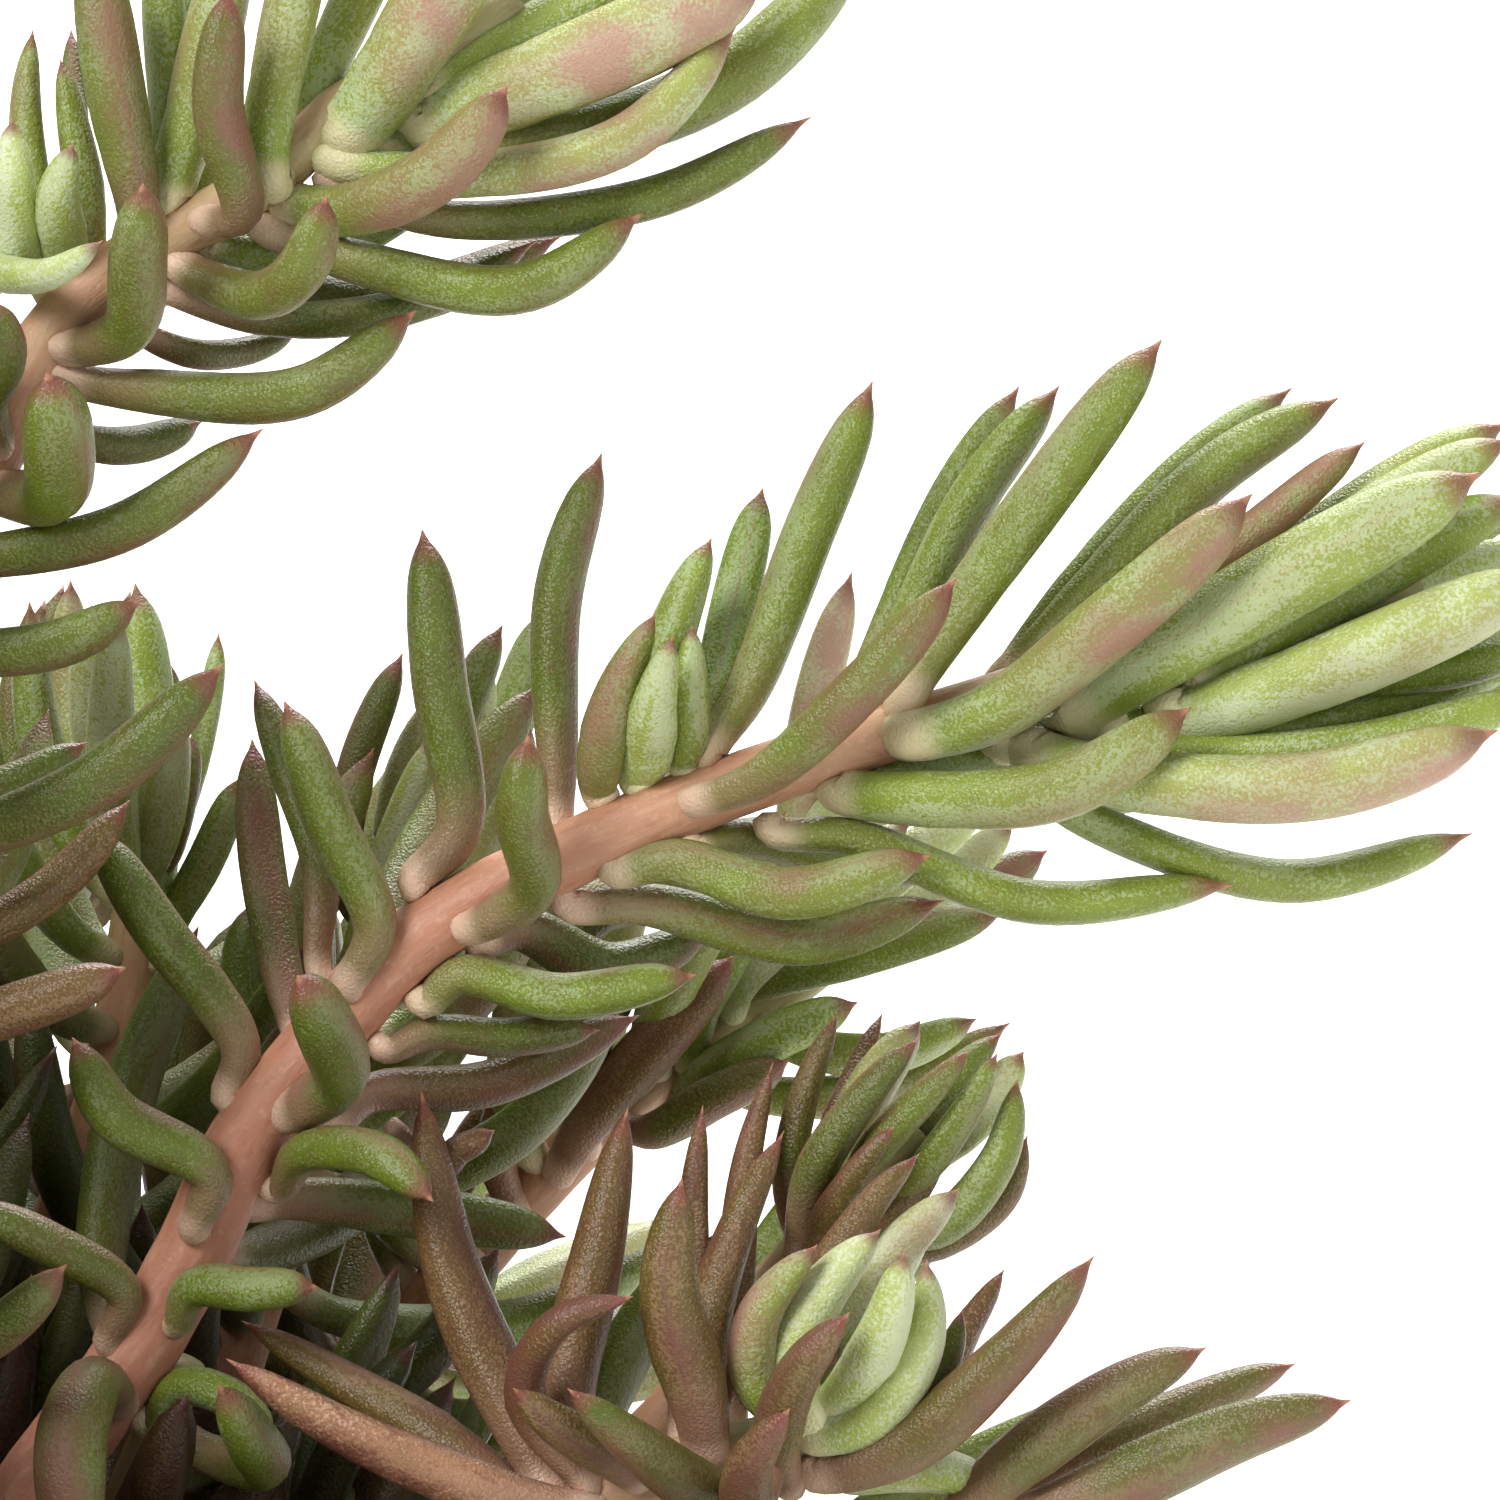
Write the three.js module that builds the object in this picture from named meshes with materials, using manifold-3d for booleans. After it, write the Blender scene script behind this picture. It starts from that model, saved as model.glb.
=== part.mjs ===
// A clay pot filled with soil, and a clump of leafy stems of reflexed stonecrop growing in it.
// Millimetres, +Z up. The origin is the centre of the pot's base, and the viewer stands on the -Y side.
import * as THREE from "three";
import { mergeVertices } from "three/addons/utils/BufferGeometryUtils.js";
import Module from "manifold-3d";

const wasm = await Module();
wasm.setup();

// Pot
const potHeight = 88;
const rimRadius = 53;
const collarHeight = 22;
const collarStep = 3;
const footRadius = 35;
const wallThickness = 5;
const floorThickness = 6;
const drainRadius = 4.5;
const drainCircle = 17;
const potSides = 30;

// Soil
const soilTop = 78;
const soilGap = 0.3;
const soilRise = 1.6;
const stemDepth = 12;

// Leafy stems
const stemRadius = 1.75;
const stemTipRadius = 0.9;
const stemSides = 5;
const stemRingEvery = 11;
const farRingEvery = 15;
const leafLength = 16;
const leafRadius = 1.3;
const leafSpacing = 4.7;
const leafTurn = THREE.MathUtils.degToRad(137.5 * 2);
const leafClearance = 0.6;
const farLeafGap = 3;

// Short shoots between the others. Their places wind outwards over the soil; those nearer than `apart` to
// another root stay free, and those that would stay under `least` high, or would crowd the close-up view, too.
const shortShoots = { places: 60, spread: 37, apart: 5.5, least: 28, shortest: 22, tallest: 42, lean: 0.35 };
const shortSides = 4;

// The close-up view that the measured stems are read from: 1500 points wide, 25 of them to a millimetre,
// seen from 12 degrees above the horizon at 400 mm.
const viewCentre = new THREE.Vector3(58, 0, 130);
const viewMiddle = 750;
const pointsPerMm = 25;
const viewTilt = THREE.MathUtils.degToRad(12);
const viewDistance = 400;
const viewUp = new THREE.Vector3(0, Math.sin(viewTilt), Math.cos(viewTilt));
const viewNear = new THREE.Vector3(0, -Math.cos(viewTilt), Math.sin(viewTilt));

// A place in the view, at so many millimetres towards the viewer.
function placeInView([across, down], toward) {
  const shrink = (1 - toward / viewDistance) / pointsPerMm;
  return viewCentre.clone()
    .addScaledVector(new THREE.Vector3(1, 0, 0), (across - viewMiddle) * shrink)
    .addScaledVector(viewUp, (viewMiddle - down) * shrink)
    .addScaledVector(viewNear, toward);
}

function viewPlaceOf(point) {
  const offset = point.clone().sub(viewCentre);
  const toward = offset.dot(viewNear);
  const grow = pointsPerMm / (1 - toward / viewDistance);
  return [viewMiddle + offset.x * grow, viewMiddle - offset.dot(viewUp) * grow];
}

function isInView(point) {
  const [across, down] = viewPlaceOf(point);
  return across > -20 && across < 1520 && down > -20 && down < 1520;
}

// Repeatable draw between 0 and 1.
function draw(seed) {
  const wave = Math.sin(seed * 12.9898) * 43758.5453;
  return wave - Math.floor(wave);
}

function solidOf(geometry) {
  const bare = geometry.clone();
  bare.deleteAttribute("normal");
  bare.deleteAttribute("uv");
  const merged = mergeVertices(bare, 1e-4);
  return new wasm.Manifold(new wasm.Mesh({
    numProp: 3,
    vertProperties: new Float32Array(merged.attributes.position.array),
    triVerts: new Uint32Array(merged.index.array),
  }));
}

function geometryOf(solid) {
  const mesh = solid.getMesh();
  const geometry = new THREE.BufferGeometry();
  geometry.setAttribute("position", new THREE.BufferAttribute(new Float32Array(mesh.vertProperties), 3));
  geometry.setIndex(new THREE.BufferAttribute(new Uint32Array(mesh.triVerts), 1));
  geometry.computeVertexNormals();
  return geometry;
}

// Turned body: the profile is a list of [radius, height] from the axis back to the axis.
function turned(profile, sides) {
  const outline = profile.map(([radius, height]) => new THREE.Vector2(radius, height));
  const lathe = new THREE.LatheGeometry(outline, sides);
  lathe.rotateX(Math.PI / 2);
  return lathe;
}

function pin(radius, bottom, top, sides, x = 0, y = 0) {
  const geometry = new THREE.CylinderGeometry(radius, radius, top - bottom, sides);
  geometry.rotateX(Math.PI / 2);
  geometry.translate(x, y, (top + bottom) / 2);
  return geometry;
}

// Straight-sided body bent along a curve: its height from 0 to 1 runs the length of the curve, and its width
// keeps square to it. The flat plane of the bend gives the sideways direction.
function bent(blank, curve, sideways, radius) {
  const places = blank.attributes.position;
  const spot = new THREE.Vector3();
  for (let i = 0; i < places.count; i += 1) {
    spot.fromBufferAttribute(places, i);
    const along = THREE.MathUtils.clamp(spot.y, 0, 1);
    const centre = curve.getPointAt(along);
    const forward = curve.getTangentAt(along);
    const side = sideways.clone().addScaledVector(forward, -sideways.dot(forward)).normalize();
    const over = new THREE.Vector3().crossVectors(side, forward);
    centre.addScaledVector(side, spot.x * radius).addScaledVector(over, spot.z * radius);
    places.setXYZ(i, centre.x, centre.y, centre.z);
  }
  return blank;
}

function squareTo(direction) {
  const helper = Math.abs(direction.z) < 0.9 ? new THREE.Vector3(0, 0, 1) : new THREE.Vector3(1, 0, 0);
  return new THREE.Vector3().crossVectors(direction, helper).normalize();
}

// Leaf outlines: [share of the leaf's radius, share of its length], from the foot inside the stem to the tip.
const closeLeaf = { sides: 3, grow: 1.18, outline: [[0.5, 0], [0.95, 0.26], [0.82, 0.76]] };
const plainLeaf = { sides: 3, grow: 1.25, outline: [[0.5, 0], [1, 0.34], [0.8, 0.78]] };
const farLeaf = { sides: 3, grow: 1.35, outline: [[0.6, 0], [1, 0.52]] };
const shortLeaf = { sides: 3, grow: 1.45, outline: [[1, 0.5]] };

function leafSolid(leaf) {
  const { sides, grow, outline } = leaf.shape;
  const profile = [[0, 0], ...outline, [0, 1]].map(([radius, along]) => new THREE.Vector2(radius, along));
  const blank = new THREE.LatheGeometry(profile, sides);
  const solid = solidOf(bent(blank, leaf.curve, leaf.sideways, leaf.radius * grow));
  return solid.volume() > 0 ? solid : null;
}

// Leaf from its five places: inside the stem, foot, elbow, belly and tip.
function makeLeaf(places, radius, shape) {
  const [, foot, elbow, , tip] = places;
  const sideways = new THREE.Vector3().crossVectors(elbow.clone().sub(foot), tip.clone().sub(elbow));
  if (sideways.length() < 0.5) {
    sideways.copy(squareTo(tip.clone().sub(foot).normalize()));
  }
  const curve = new THREE.CatmullRomCurve3(places, false, "centripetal");
  return { places, radius, shape, curve, sideways: sideways.normalize() };
}

// Balls along a leaf or a stem, used to keep neighbours apart.
function ballsOf(curve, radius, owner, from, part) {
  const count = Math.ceil(curve.getLength() / 1.1);
  const balls = [];
  for (let i = 0; i <= count; i += 1) {
    const along = i / count;
    if (along >= from) {
      const thin = part === "leaf" && along > 0.8 ? 1.3 - along * 0.9 : 1;
      balls.push({ centre: curve.getPointAt(along), radius: radius * thin, owner, along, part });
    }
  }
  return balls;
}

const cellSize = 5;
const cells = new Map();
const cellName = (...spot) => spot.map((value) => Math.floor(value / cellSize)).join(",");

function keepBalls(balls) {
  for (const ball of balls) {
    const name = cellName(ball.centre.x, ball.centre.y, ball.centre.z);
    if (!cells.has(name)) {
      cells.set(name, []);
    }
    cells.get(name).push(ball);
  }
}

// How deep a set of balls reaches into what is already there. On its own stem a leaf may crowd its
// neighbours over its lower half.
function crowding(balls) {
  let deepest = 0;
  for (const ball of balls) {
    const low = soilTop + soilRise + 0.6 + ball.radius - ball.centre.z;
    const outward = Math.hypot(ball.centre.x, ball.centre.y);
    const overRim = outward > rimRadius - wallThickness - 3 && outward < rimRadius + 3;
    const rimLow = overRim ? potHeight + 0.6 + ball.radius - ball.centre.z : 0;
    deepest = Math.max(deepest, outward < rimRadius ? low : 0, rimLow);
    for (const dx of [-cellSize, 0, cellSize]) {
      for (const dy of [-cellSize, 0, cellSize]) {
        for (const dz of [-cellSize, 0, cellSize]) {
          const name = cellName(ball.centre.x + dx, ball.centre.y + dy, ball.centre.z + dz);
          for (const other of cells.get(name) ?? []) {
            const own = other.owner === ball.owner;
            if (own && (other.part === "stem" || ball.along < 0.5 || other.along < 0.5)) {
              continue;
            }
            const room = own ? -0.5 : leafClearance;
            const gap = ball.radius + other.radius + room - ball.centre.distanceTo(other.centre);
            deepest = Math.max(deepest, gap);
          }
        }
      }
    }
  }
  return deepest;
}

// The measured stems. `rise` is the stem below the view, in millimetres; `seen` is its middle line in the
// view; `toward` is how far in front of the view's plane it stands. Each leaf has its foot, elbow, belly, tip
// and width in points of the view, and how far its tip stands out towards the viewer.
const measuredStems = [
  {
    name: "main_shoot", toward: 0,
    rise: [[18.5, -6, soilTop], [20.5, -6, 88]],
    seen: [[40, 1480], [137, 1350], [194, 1250], [240, 1150], [315, 1050], [410, 945], [555, 862], [710, 795],
      [855, 745], [1000, 700], [1150, 650], [1300, 610], [1420, 580]],
    leaves: [
      { foot: [115, 1405], elbow: [95, 1385], belly: [72, 1440], tip: [75, 1560], wide: 80, out: 6 },
      { foot: [105, 1342], elbow: [122, 1295], belly: [45, 1245], tip: [-40, 1205], wide: 50, out: 2 },
      { foot: [192, 1225], elbow: [208, 1175], belly: [110, 1115], tip: [72, 1037], wide: 60, out: 2 },
      { foot: [225, 1098], elbow: [238, 1050], belly: [150, 925], tip: [88, 825], wide: 60, out: 0 },
      { foot: [318, 975], elbow: [318, 870], belly: [285, 770], tip: [254, 679], wide: 45, out: -4 },
      { foot: [345, 985], elbow: [372, 930], belly: [325, 820], tip: [284, 700], wide: 60, out: 1 },
      { foot: [412, 882], elbow: [455, 830], belly: [435, 680], tip: [422, 528], wide: 65, out: 0 },
      { foot: [560, 830], elbow: [560, 770], belly: [560, 600], tip: [602, 452], wide: 55, out: -1 },
      { foot: [705, 755], elbow: [745, 690], belly: [810, 520], tip: [873, 380], wide: 60, out: -1 },
      { foot: [700, 750], elbow: [712, 700], belly: [735, 600], tip: [763, 487], wide: 45, out: -4 },
      { foot: [870, 715], elbow: [905, 640], belly: [975, 500], tip: [1060, 385], wide: 55, out: -2 },
      { foot: [850, 720], elbow: [885, 640], belly: [950, 500], tip: [1020, 385], wide: 45, out: -5 },
      { foot: [905, 705], elbow: [950, 630], belly: [1065, 470], tip: [1163, 338], wide: 65, out: 1 },
      { foot: [1000, 690], elbow: [1060, 630], belly: [1215, 475], tip: [1340, 397], wide: 60, out: -1 },
      { foot: [1010, 680], elbow: [1060, 610], belly: [1180, 480], tip: [1293, 387], wide: 50, out: -4 },
      { foot: [1110, 650], elbow: [1160, 600], belly: [1270, 520], tip: [1365, 441], wide: 60, out: -2 },
      { foot: [1180, 630], elbow: [1230, 560], belly: [1380, 460], tip: [1505, 422], wide: 60, out: 0 },
      { foot: [290, 1110], elbow: [335, 1075], belly: [318, 1020], tip: [297, 975], wide: 70, out: 8 },
      { foot: [470, 925], elbow: [530, 885], belly: [518, 810], tip: [528, 735], wide: 62, out: 5 },
      { foot: [695, 800], elbow: [760, 775], belly: [865, 680], tip: [957, 577], wide: 60, out: 4 },
      { foot: [910, 733], elbow: [990, 710], belly: [1120, 610], tip: [1253, 493], wide: 75, out: 4 },
      { foot: [1068, 708], elbow: [1130, 670], belly: [1310, 565], tip: [1482, 472], wide: 78, out: 4 },
      { foot: [1180, 715], elbow: [1260, 695], belly: [1420, 635], tip: [1540, 575], wide: 80, out: 4 },
      { foot: [600, 790], elbow: [605, 760], belly: [600, 700], tip: [656, 612], wide: 60, out: 3 },
      { foot: [640, 775], elbow: [648, 750], belly: [655, 700], tip: [673, 635], wide: 58, out: 4 },
      { foot: [685, 765], elbow: [690, 740], belly: [690, 690], tip: [692, 625], wide: 42, out: 2 },
      { foot: [650, 760], elbow: [655, 700], belly: [680, 620], tip: [712, 537], wide: 65, out: 0 },
      { foot: [150, 1425], elbow: [180, 1388], belly: [205, 1392], tip: [235, 1405], wide: 38, out: 2 },
      { foot: [165, 1440], elbow: [230, 1450], belly: [250, 1435], tip: [220, 1380], wide: 60, out: 6 },
      { foot: [180, 1325], elbow: [195, 1290], belly: [255, 1292], tip: [318, 1287], wide: 48, out: 1 },
      { foot: [280, 1190], elbow: [305, 1155], belly: [380, 1158], tip: [434, 1202], wide: 50, out: 1 },
      { foot: [250, 1205], elbow: [300, 1200], belly: [430, 1215], tip: [567, 1237], wide: 55, out: -4 },
      { foot: [425, 1005], elbow: [460, 978], belly: [560, 1000], tip: [697, 975], wide: 55, out: 1 },
      { foot: [385, 1052], elbow: [430, 1035], belly: [500, 1040], tip: [600, 1030], wide: 45, out: -2 },
      { foot: [330, 1130], elbow: [370, 1095], belly: [490, 1085], tip: [640, 1015], wide: 50, out: -5 },
      { foot: [480, 945], elbow: [520, 930], belly: [610, 970], tip: [712, 933], wide: 55, out: -4 },
      { foot: [615, 870], elbow: [675, 862], belly: [790, 895], tip: [932, 855], wide: 55, out: 2 },
      { foot: [570, 905], elbow: [650, 905], belly: [800, 940], tip: [945, 900], wide: 50, out: -2 },
      { foot: [772, 833], elbow: [850, 840], belly: [1030, 905], tip: [1235, 885], wide: 52, out: 0 },
      { foot: [840, 785], elbow: [915, 795], belly: [1060, 785], tip: [1192, 707], wide: 70, out: 4 },
      { foot: [1040, 745], elbow: [1120, 770], belly: [1310, 780], tip: [1497, 732], wide: 65, out: 3 },
      { foot: [1150, 705], elbow: [1230, 730], belly: [1380, 725], tip: [1530, 690], wide: 60, out: 1 },
      { foot: [1050, 790], elbow: [1130, 835], belly: [1290, 878], tip: [1474, 833], wide: 52, out: -2 },
      { foot: [1250, 630], elbow: [1300, 620], belly: [1400, 560], tip: [1500, 500], wide: 60, out: 2 },
      { foot: [1280, 630], elbow: [1340, 650], belly: [1450, 640], tip: [1560, 610], wide: 60, out: 3 },
    ],
  },
  {
    name: "upper_shoot", toward: 5,
    rise: [[15, -18, soilTop], [18, -14, 90], [21.5, -10.5, 104], [22.5, -9, 118]],
    seen: [[-110, 650], [-60, 550], [0, 440], [50, 335], [110, 275], [180, 230], [240, 200], [300, 150],
      [340, 110], [430, 60], [520, 0]],
    leaves: [
      { foot: [100, 275], elbow: [130, 200], belly: [120, 90], tip: [95, -40], wide: 52, out: 1 },
      { foot: [70, 345], elbow: [125, 325], belly: [135, 250], tip: [143, 183], wide: 65, out: 5 },
      { foot: [200, 218], elbow: [238, 215], belly: [215, 110], tip: [230, -5], wide: 52, out: 3 },
      { foot: [168, 198], elbow: [170, 130], belly: [165, 30], tip: [155, -60], wide: 55, out: -1 },
      { foot: [265, 175], elbow: [275, 120], belly: [295, 0], tip: [320, -120], wide: 50, out: 0 },
      { foot: [305, 140], elbow: [318, 80], belly: [340, -20], tip: [370, -120], wide: 50, out: -1 },
      { foot: [343, 128], elbow: [385, 85], belly: [450, -20], tip: [520, -130], wide: 70, out: 3 },
      { foot: [285, 190], elbow: [360, 208], belly: [440, 170], tip: [508, 88], wide: 60, out: 5 },
      { foot: [330, 155], elbow: [440, 175], belly: [620, 135], tip: [738, 28], wide: 58, out: 3 },
      { foot: [430, 105], elbow: [500, 90], belly: [640, 20], tip: [760, -40], wide: 70, out: 3 },
      { foot: [330, 180], elbow: [430, 215], belly: [650, 195], tip: [813, 116], wide: 50, out: -1 },
      { foot: [265, 225], elbow: [370, 262], belly: [520, 285], tip: [643, 213], wide: 58, out: 1 },
      { foot: [180, 262], elbow: [255, 292], belly: [300, 265], tip: [327, 195], wide: 58, out: 5 },
      { foot: [150, 280], elbow: [260, 315], belly: [400, 305], tip: [538, 240], wide: 45, out: -2 },
      { foot: [62, 375], elbow: [150, 388], belly: [300, 388], tip: [417, 310], wide: 60, out: 1 },
      { foot: [0, 490], elbow: [50, 490], belly: [55, 430], tip: [47, 372], wide: 75, out: 6 },
      { foot: [480, 40], elbow: [600, 60], belly: [760, 60], tip: [860, -60], wide: 60, out: 0 },
      { foot: [40, 300], elbow: [15, 240], belly: [10, 190], tip: [12, 125], wide: 60, out: 2 },
      { foot: [60, 300], elbow: [62, 250], belly: [58, 200], tip: [75, 145], wide: 50, out: 4 },
      { foot: [50, 290], elbow: [30, 200], belly: [20, 110], tip: [30, 32], wide: 50, out: -1 },
      { foot: [-130, 575], elbow: [-50, 560], belly: [120, 525], tip: [264, 428], wide: 55, out: 2 },
      { foot: [-130, 665], elbow: [-60, 655], belly: [60, 640], tip: [142, 600], wide: 55, out: 2 },
      { foot: [-140, 850], elbow: [-60, 840], belly: [90, 780], tip: [225, 663], wide: 65, out: 2 },
      { foot: [-140, 950], elbow: [-60, 945], belly: [50, 885], tip: [130, 800], wide: 50, out: -3 },
      { foot: [-150, 1040], elbow: [-70, 1030], belly: [30, 1000], tip: [127, 967], wide: 60, out: 2 },
      { foot: [-160, 1390], elbow: [-90, 1375], belly: [0, 1325], tip: [67, 1264], wide: 55, out: 5 },
    ],
  },
  {
    name: "lower_shoot", toward: 5,
    rise: [[33, -19, soilTop], [39, -18, 89]],
    seen: [[560, 1530], [680, 1465], [790, 1430], [850, 1380]],
    leaves: [
      { foot: [560, 1500], elbow: [520, 1420], belly: [455, 1270], tip: [421, 1090], wide: 75, out: -1 },
      { foot: [600, 1480], elbow: [590, 1390], belly: [605, 1240], tip: [628, 1107], wide: 78, out: -2 },
      { foot: [700, 1450], elbow: [695, 1400], belly: [675, 1290], tip: [682, 1177], wide: 80, out: 3 },
      { foot: [600, 1490], elbow: [530, 1410], belly: [545, 1345], tip: [634, 1296], wide: 45, out: 4 },
      { foot: [760, 1470], elbow: [700, 1480], belly: [630, 1425], tip: [568, 1390], wide: 65, out: 7 },
      { foot: [590, 1510], elbow: [500, 1490], belly: [350, 1430], tip: [225, 1358], wide: 65, out: 3 },
      { foot: [545, 1520], elbow: [440, 1440], belly: [340, 1380], tip: [240, 1320], wide: 55, out: -4 },
      { foot: [770, 1450], elbow: [750, 1500], belly: [752, 1460], tip: [790, 1408], wide: 60, out: 9 },
      { foot: [800, 1440], elbow: [780, 1430], belly: [800, 1380], tip: [848, 1312], wide: 65, out: 6 },
      { foot: [715, 1450], elbow: [720, 1320], belly: [745, 1230], tip: [786, 1133], wide: 60, out: -3 },
      { foot: [735, 1440], elbow: [740, 1290], belly: [755, 1170], tip: [773, 1062], wide: 50, out: -6 },
      { foot: [800, 1420], elbow: [765, 1380], belly: [765, 1310], tip: [818, 1245], wide: 60, out: 1 },
      { foot: [835, 1400], elbow: [860, 1370], belly: [885, 1320], tip: [905, 1250], wide: 55, out: 4 },
      { foot: [830, 1380], elbow: [825, 1290], belly: [870, 1210], tip: [920, 1153], wide: 55, out: -2 },
      { foot: [825, 1430], elbow: [900, 1440], belly: [1010, 1340], tip: [1095, 1255], wide: 75, out: 3 },
    ],
  },
  {
    name: "inner_shoot", toward: -4,
    rise: [[38, 8, soilTop], [44, 7.5, 91]],
    seen: [[660, 1430], [740, 1330], [860, 1190], [920, 1130]],
    leaves: [
      { foot: [800, 1240], elbow: [790, 1190], belly: [805, 1100], tip: [838, 1013], wide: 50, out: 0 },
      { foot: [800, 1260], elbow: [815, 1180], belly: [865, 1100], tip: [920, 1037], wide: 55, out: 2 },
      { foot: [850, 1200], elbow: [880, 1150], belly: [945, 1090], tip: [1003, 1032], wide: 55, out: 0 },
      { foot: [880, 1180], elbow: [920, 1160], belly: [975, 1110], tip: [995, 1055], wide: 50, out: 2 },
      { foot: [880, 1180], elbow: [935, 1200], belly: [1000, 1150], tip: [1025, 1080], wide: 60, out: 1 },
      { foot: [850, 1220], elbow: [920, 1240], belly: [1000, 1210], tip: [1037, 1145], wide: 55, out: -1 },
      { foot: [800, 1270], elbow: [820, 1230], belly: [860, 1170], tip: [895, 1125], wide: 50, out: 3 },
    ],
  },
  {
    name: "side_shoot", toward: 2,
    rise: [[38, -7, soilTop], [42, -7, 88], [52, -8, 95]],
    seen: [[850, 1555], [950, 1530], [1010, 1510]],
    leaves: [
      { foot: [950, 1530], elbow: [1000, 1480], belly: [1110, 1400], tip: [1207, 1347], wide: 72, out: 2 },
      { foot: [1000, 1510], elbow: [1060, 1470], belly: [1190, 1410], tip: [1297, 1363], wide: 60, out: -2 },
      { foot: [1010, 1520], elbow: [1100, 1490], belly: [1240, 1430], tip: [1352, 1400], wide: 72, out: 2 },
      { foot: [990, 1520], elbow: [960, 1480], belly: [900, 1475], tip: [830, 1490], wide: 55, out: 6 },
    ],
  },
];

// The other stems: places of the stem in millimetres, from the soil up.
const plainStems = [
  { name: "back_shoot", rise: [[33, 22, soilTop], [38, 21, 92], [50, 20, 108], [62, 21, 117]] },
  { name: "left_back_shoot", rise: [[21, 17, soilTop], [26, 18, 98], [31, 19, 112], [33, 19, 126]] },
  { name: "middle_back_shoot", rise: [[31, 7, soilTop], [33, 11, 90], [38, 14, 106], [44, 15, 122]] },
  { name: "centre_shoot", rise: [[-4, 2, soilTop], [-3, 3, 100], [-6, 6, 130], [-2, 10, 160]] },
  { name: "rear_shoot_1", rise: [[3, 19, soilTop], [4, 24, 100], [2, 31, 124], [6, 34, 148]] },
  { name: "rear_shoot_2", rise: [[-9, 36, soilTop], [-11, 42, 94], [-18, 52, 112], [-20, 62, 126]] },
  { name: "left_shoot_1", rise: [[-20, 12, soilTop], [-24, 14, 100], [-34, 16, 124], [-42, 16, 146]] },
  { name: "left_shoot_2", rise: [[-22, -12, soilTop], [-27, -16, 96], [-38, -21, 112], [-52, -24, 124]] },
  { name: "left_shoot_3", rise: [[-37, 1, soilTop], [-43, 1, 92], [-56, 0, 101], [-70, -3, 112]] },
  { name: "left_shoot_4", rise: [[-30, 27, soilTop], [-36, 31, 94], [-48, 38, 104], [-58, 46, 118]] },
  { name: "left_shoot_5", rise: [[-34, -21, soilTop], [-40, -26, 92], [-52, -34, 98], [-62, -42, 108]] },
  { name: "front_shoot_1", rise: [[-3, -20, soilTop], [-5, -24, 96], [-12, -33, 116], [-14, -42, 134]] },
  { name: "front_shoot_2", rise: [[-17, -35, soilTop], [-19, -41, 91], [-24, -54, 97], [-30, -66, 106]] },
  { name: "front_shoot_3", rise: [[8, -37, soilTop], [9, -43, 90], [14, -56, 94], [18, -67, 100]] },
  { name: "front_shoot_4", rise: [[24, -29, soilTop], [27, -35, 88], [36, -45, 94], [46, -54, 96]] },
  { name: "right_shoot", rise: [[29, 26, soilTop], [33, 30, 88], [41, 37, 94], [49, 43, 96]] },
];

function shortStems(taken) {
  const found = [];
  let number = 0;
  for (let i = 0; i < shortShoots.places; i += 1) {
    const angle = i * 2.39996;
    const distance = shortShoots.spread * Math.sqrt((i + 0.5) / shortShoots.places);
    const x = distance * Math.cos(angle);
    const y = distance * Math.sin(angle);
    const free = taken.every(([rootX, rootY]) => Math.hypot(x - rootX, y - rootY) >= shortShoots.apart);
    const crowdsView = (x > 12 && y < -8) || x > 33;
    const height = THREE.MathUtils.lerp(shortShoots.shortest, shortShoots.tallest, draw(i * 17 + 6));
    number += free ? 1 : 0;
    if (free && !crowdsView && height >= shortShoots.least) {
      const out = (share) => 1 + (share * shortShoots.lean * height) / shortShoots.spread;
      const step = (share, up) => [x * out(share), y * out(share), soilTop + up * height];
      const rise = [[x, y, soilTop], step(0.2, 0.4), step(0.65, 0.75), step(1, 1)];
      found.push({ name: `short_shoot_${number}`, short: true, rise });
    }
  }
  return found;
}

function stemOf(entry) {
  const [root, ...above] = entry.rise.map(([x, y, z]) => new THREE.Vector3(x, y, z));
  const inSoil = [-stemDepth, -stemDepth / 2, 0, 3].map((height) => root.clone().setZ(soilTop + height));
  const seen = (entry.seen ?? []).map((place) => placeInView(place, entry.toward));
  const curve = new THREE.CatmullRomCurve3([...inSoil, ...above, ...seen], false, "centripetal");
  curve.arcLengthDivisions = 400;
  return { ...entry, curve, length: curve.getLength() };
}

const stemThickness = (share) => THREE.MathUtils.lerp(stemRadius, stemTipRadius, share * share);

function nearestShare(curve, point) {
  let best = 0;
  let bestDistance = Infinity;
  for (let i = 0; i <= 200; i += 1) {
    const distance = curve.getPointAt(i / 200).distanceTo(point);
    if (distance < bestDistance) {
      bestDistance = distance;
      best = i / 200;
    }
  }
  return best;
}

// A measured leaf. Its foot lies on the near or far face of the stem, or beside it.
function measuredLeaf(stem, entry, push) {
  const flat = placeInView(entry.foot, stem.toward);
  const share = nearestShare(stem.curve, flat);
  const axis = stem.curve.getPointAt(share);
  const thick = stemThickness(share);
  const beside = axis.distanceTo(flat);
  const lift = beside < thick ? Math.sqrt(thick * thick - beside * beside) * Math.sign(entry.out || -1) : 0;
  const out = entry.out + push;
  const depth = axis.clone().sub(viewCentre).dot(viewNear);
  const places = [
    axis,
    placeInView(entry.foot, depth + lift),
    placeInView(entry.elbow, depth + lift + out * 0.3),
    placeInView(entry.belly, depth + lift + out * 0.75),
    placeInView(entry.tip, depth + lift + out),
  ];
  return makeLeaf(places, entry.wide / pointsPerMm / 2, closeLeaf);
}

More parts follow.
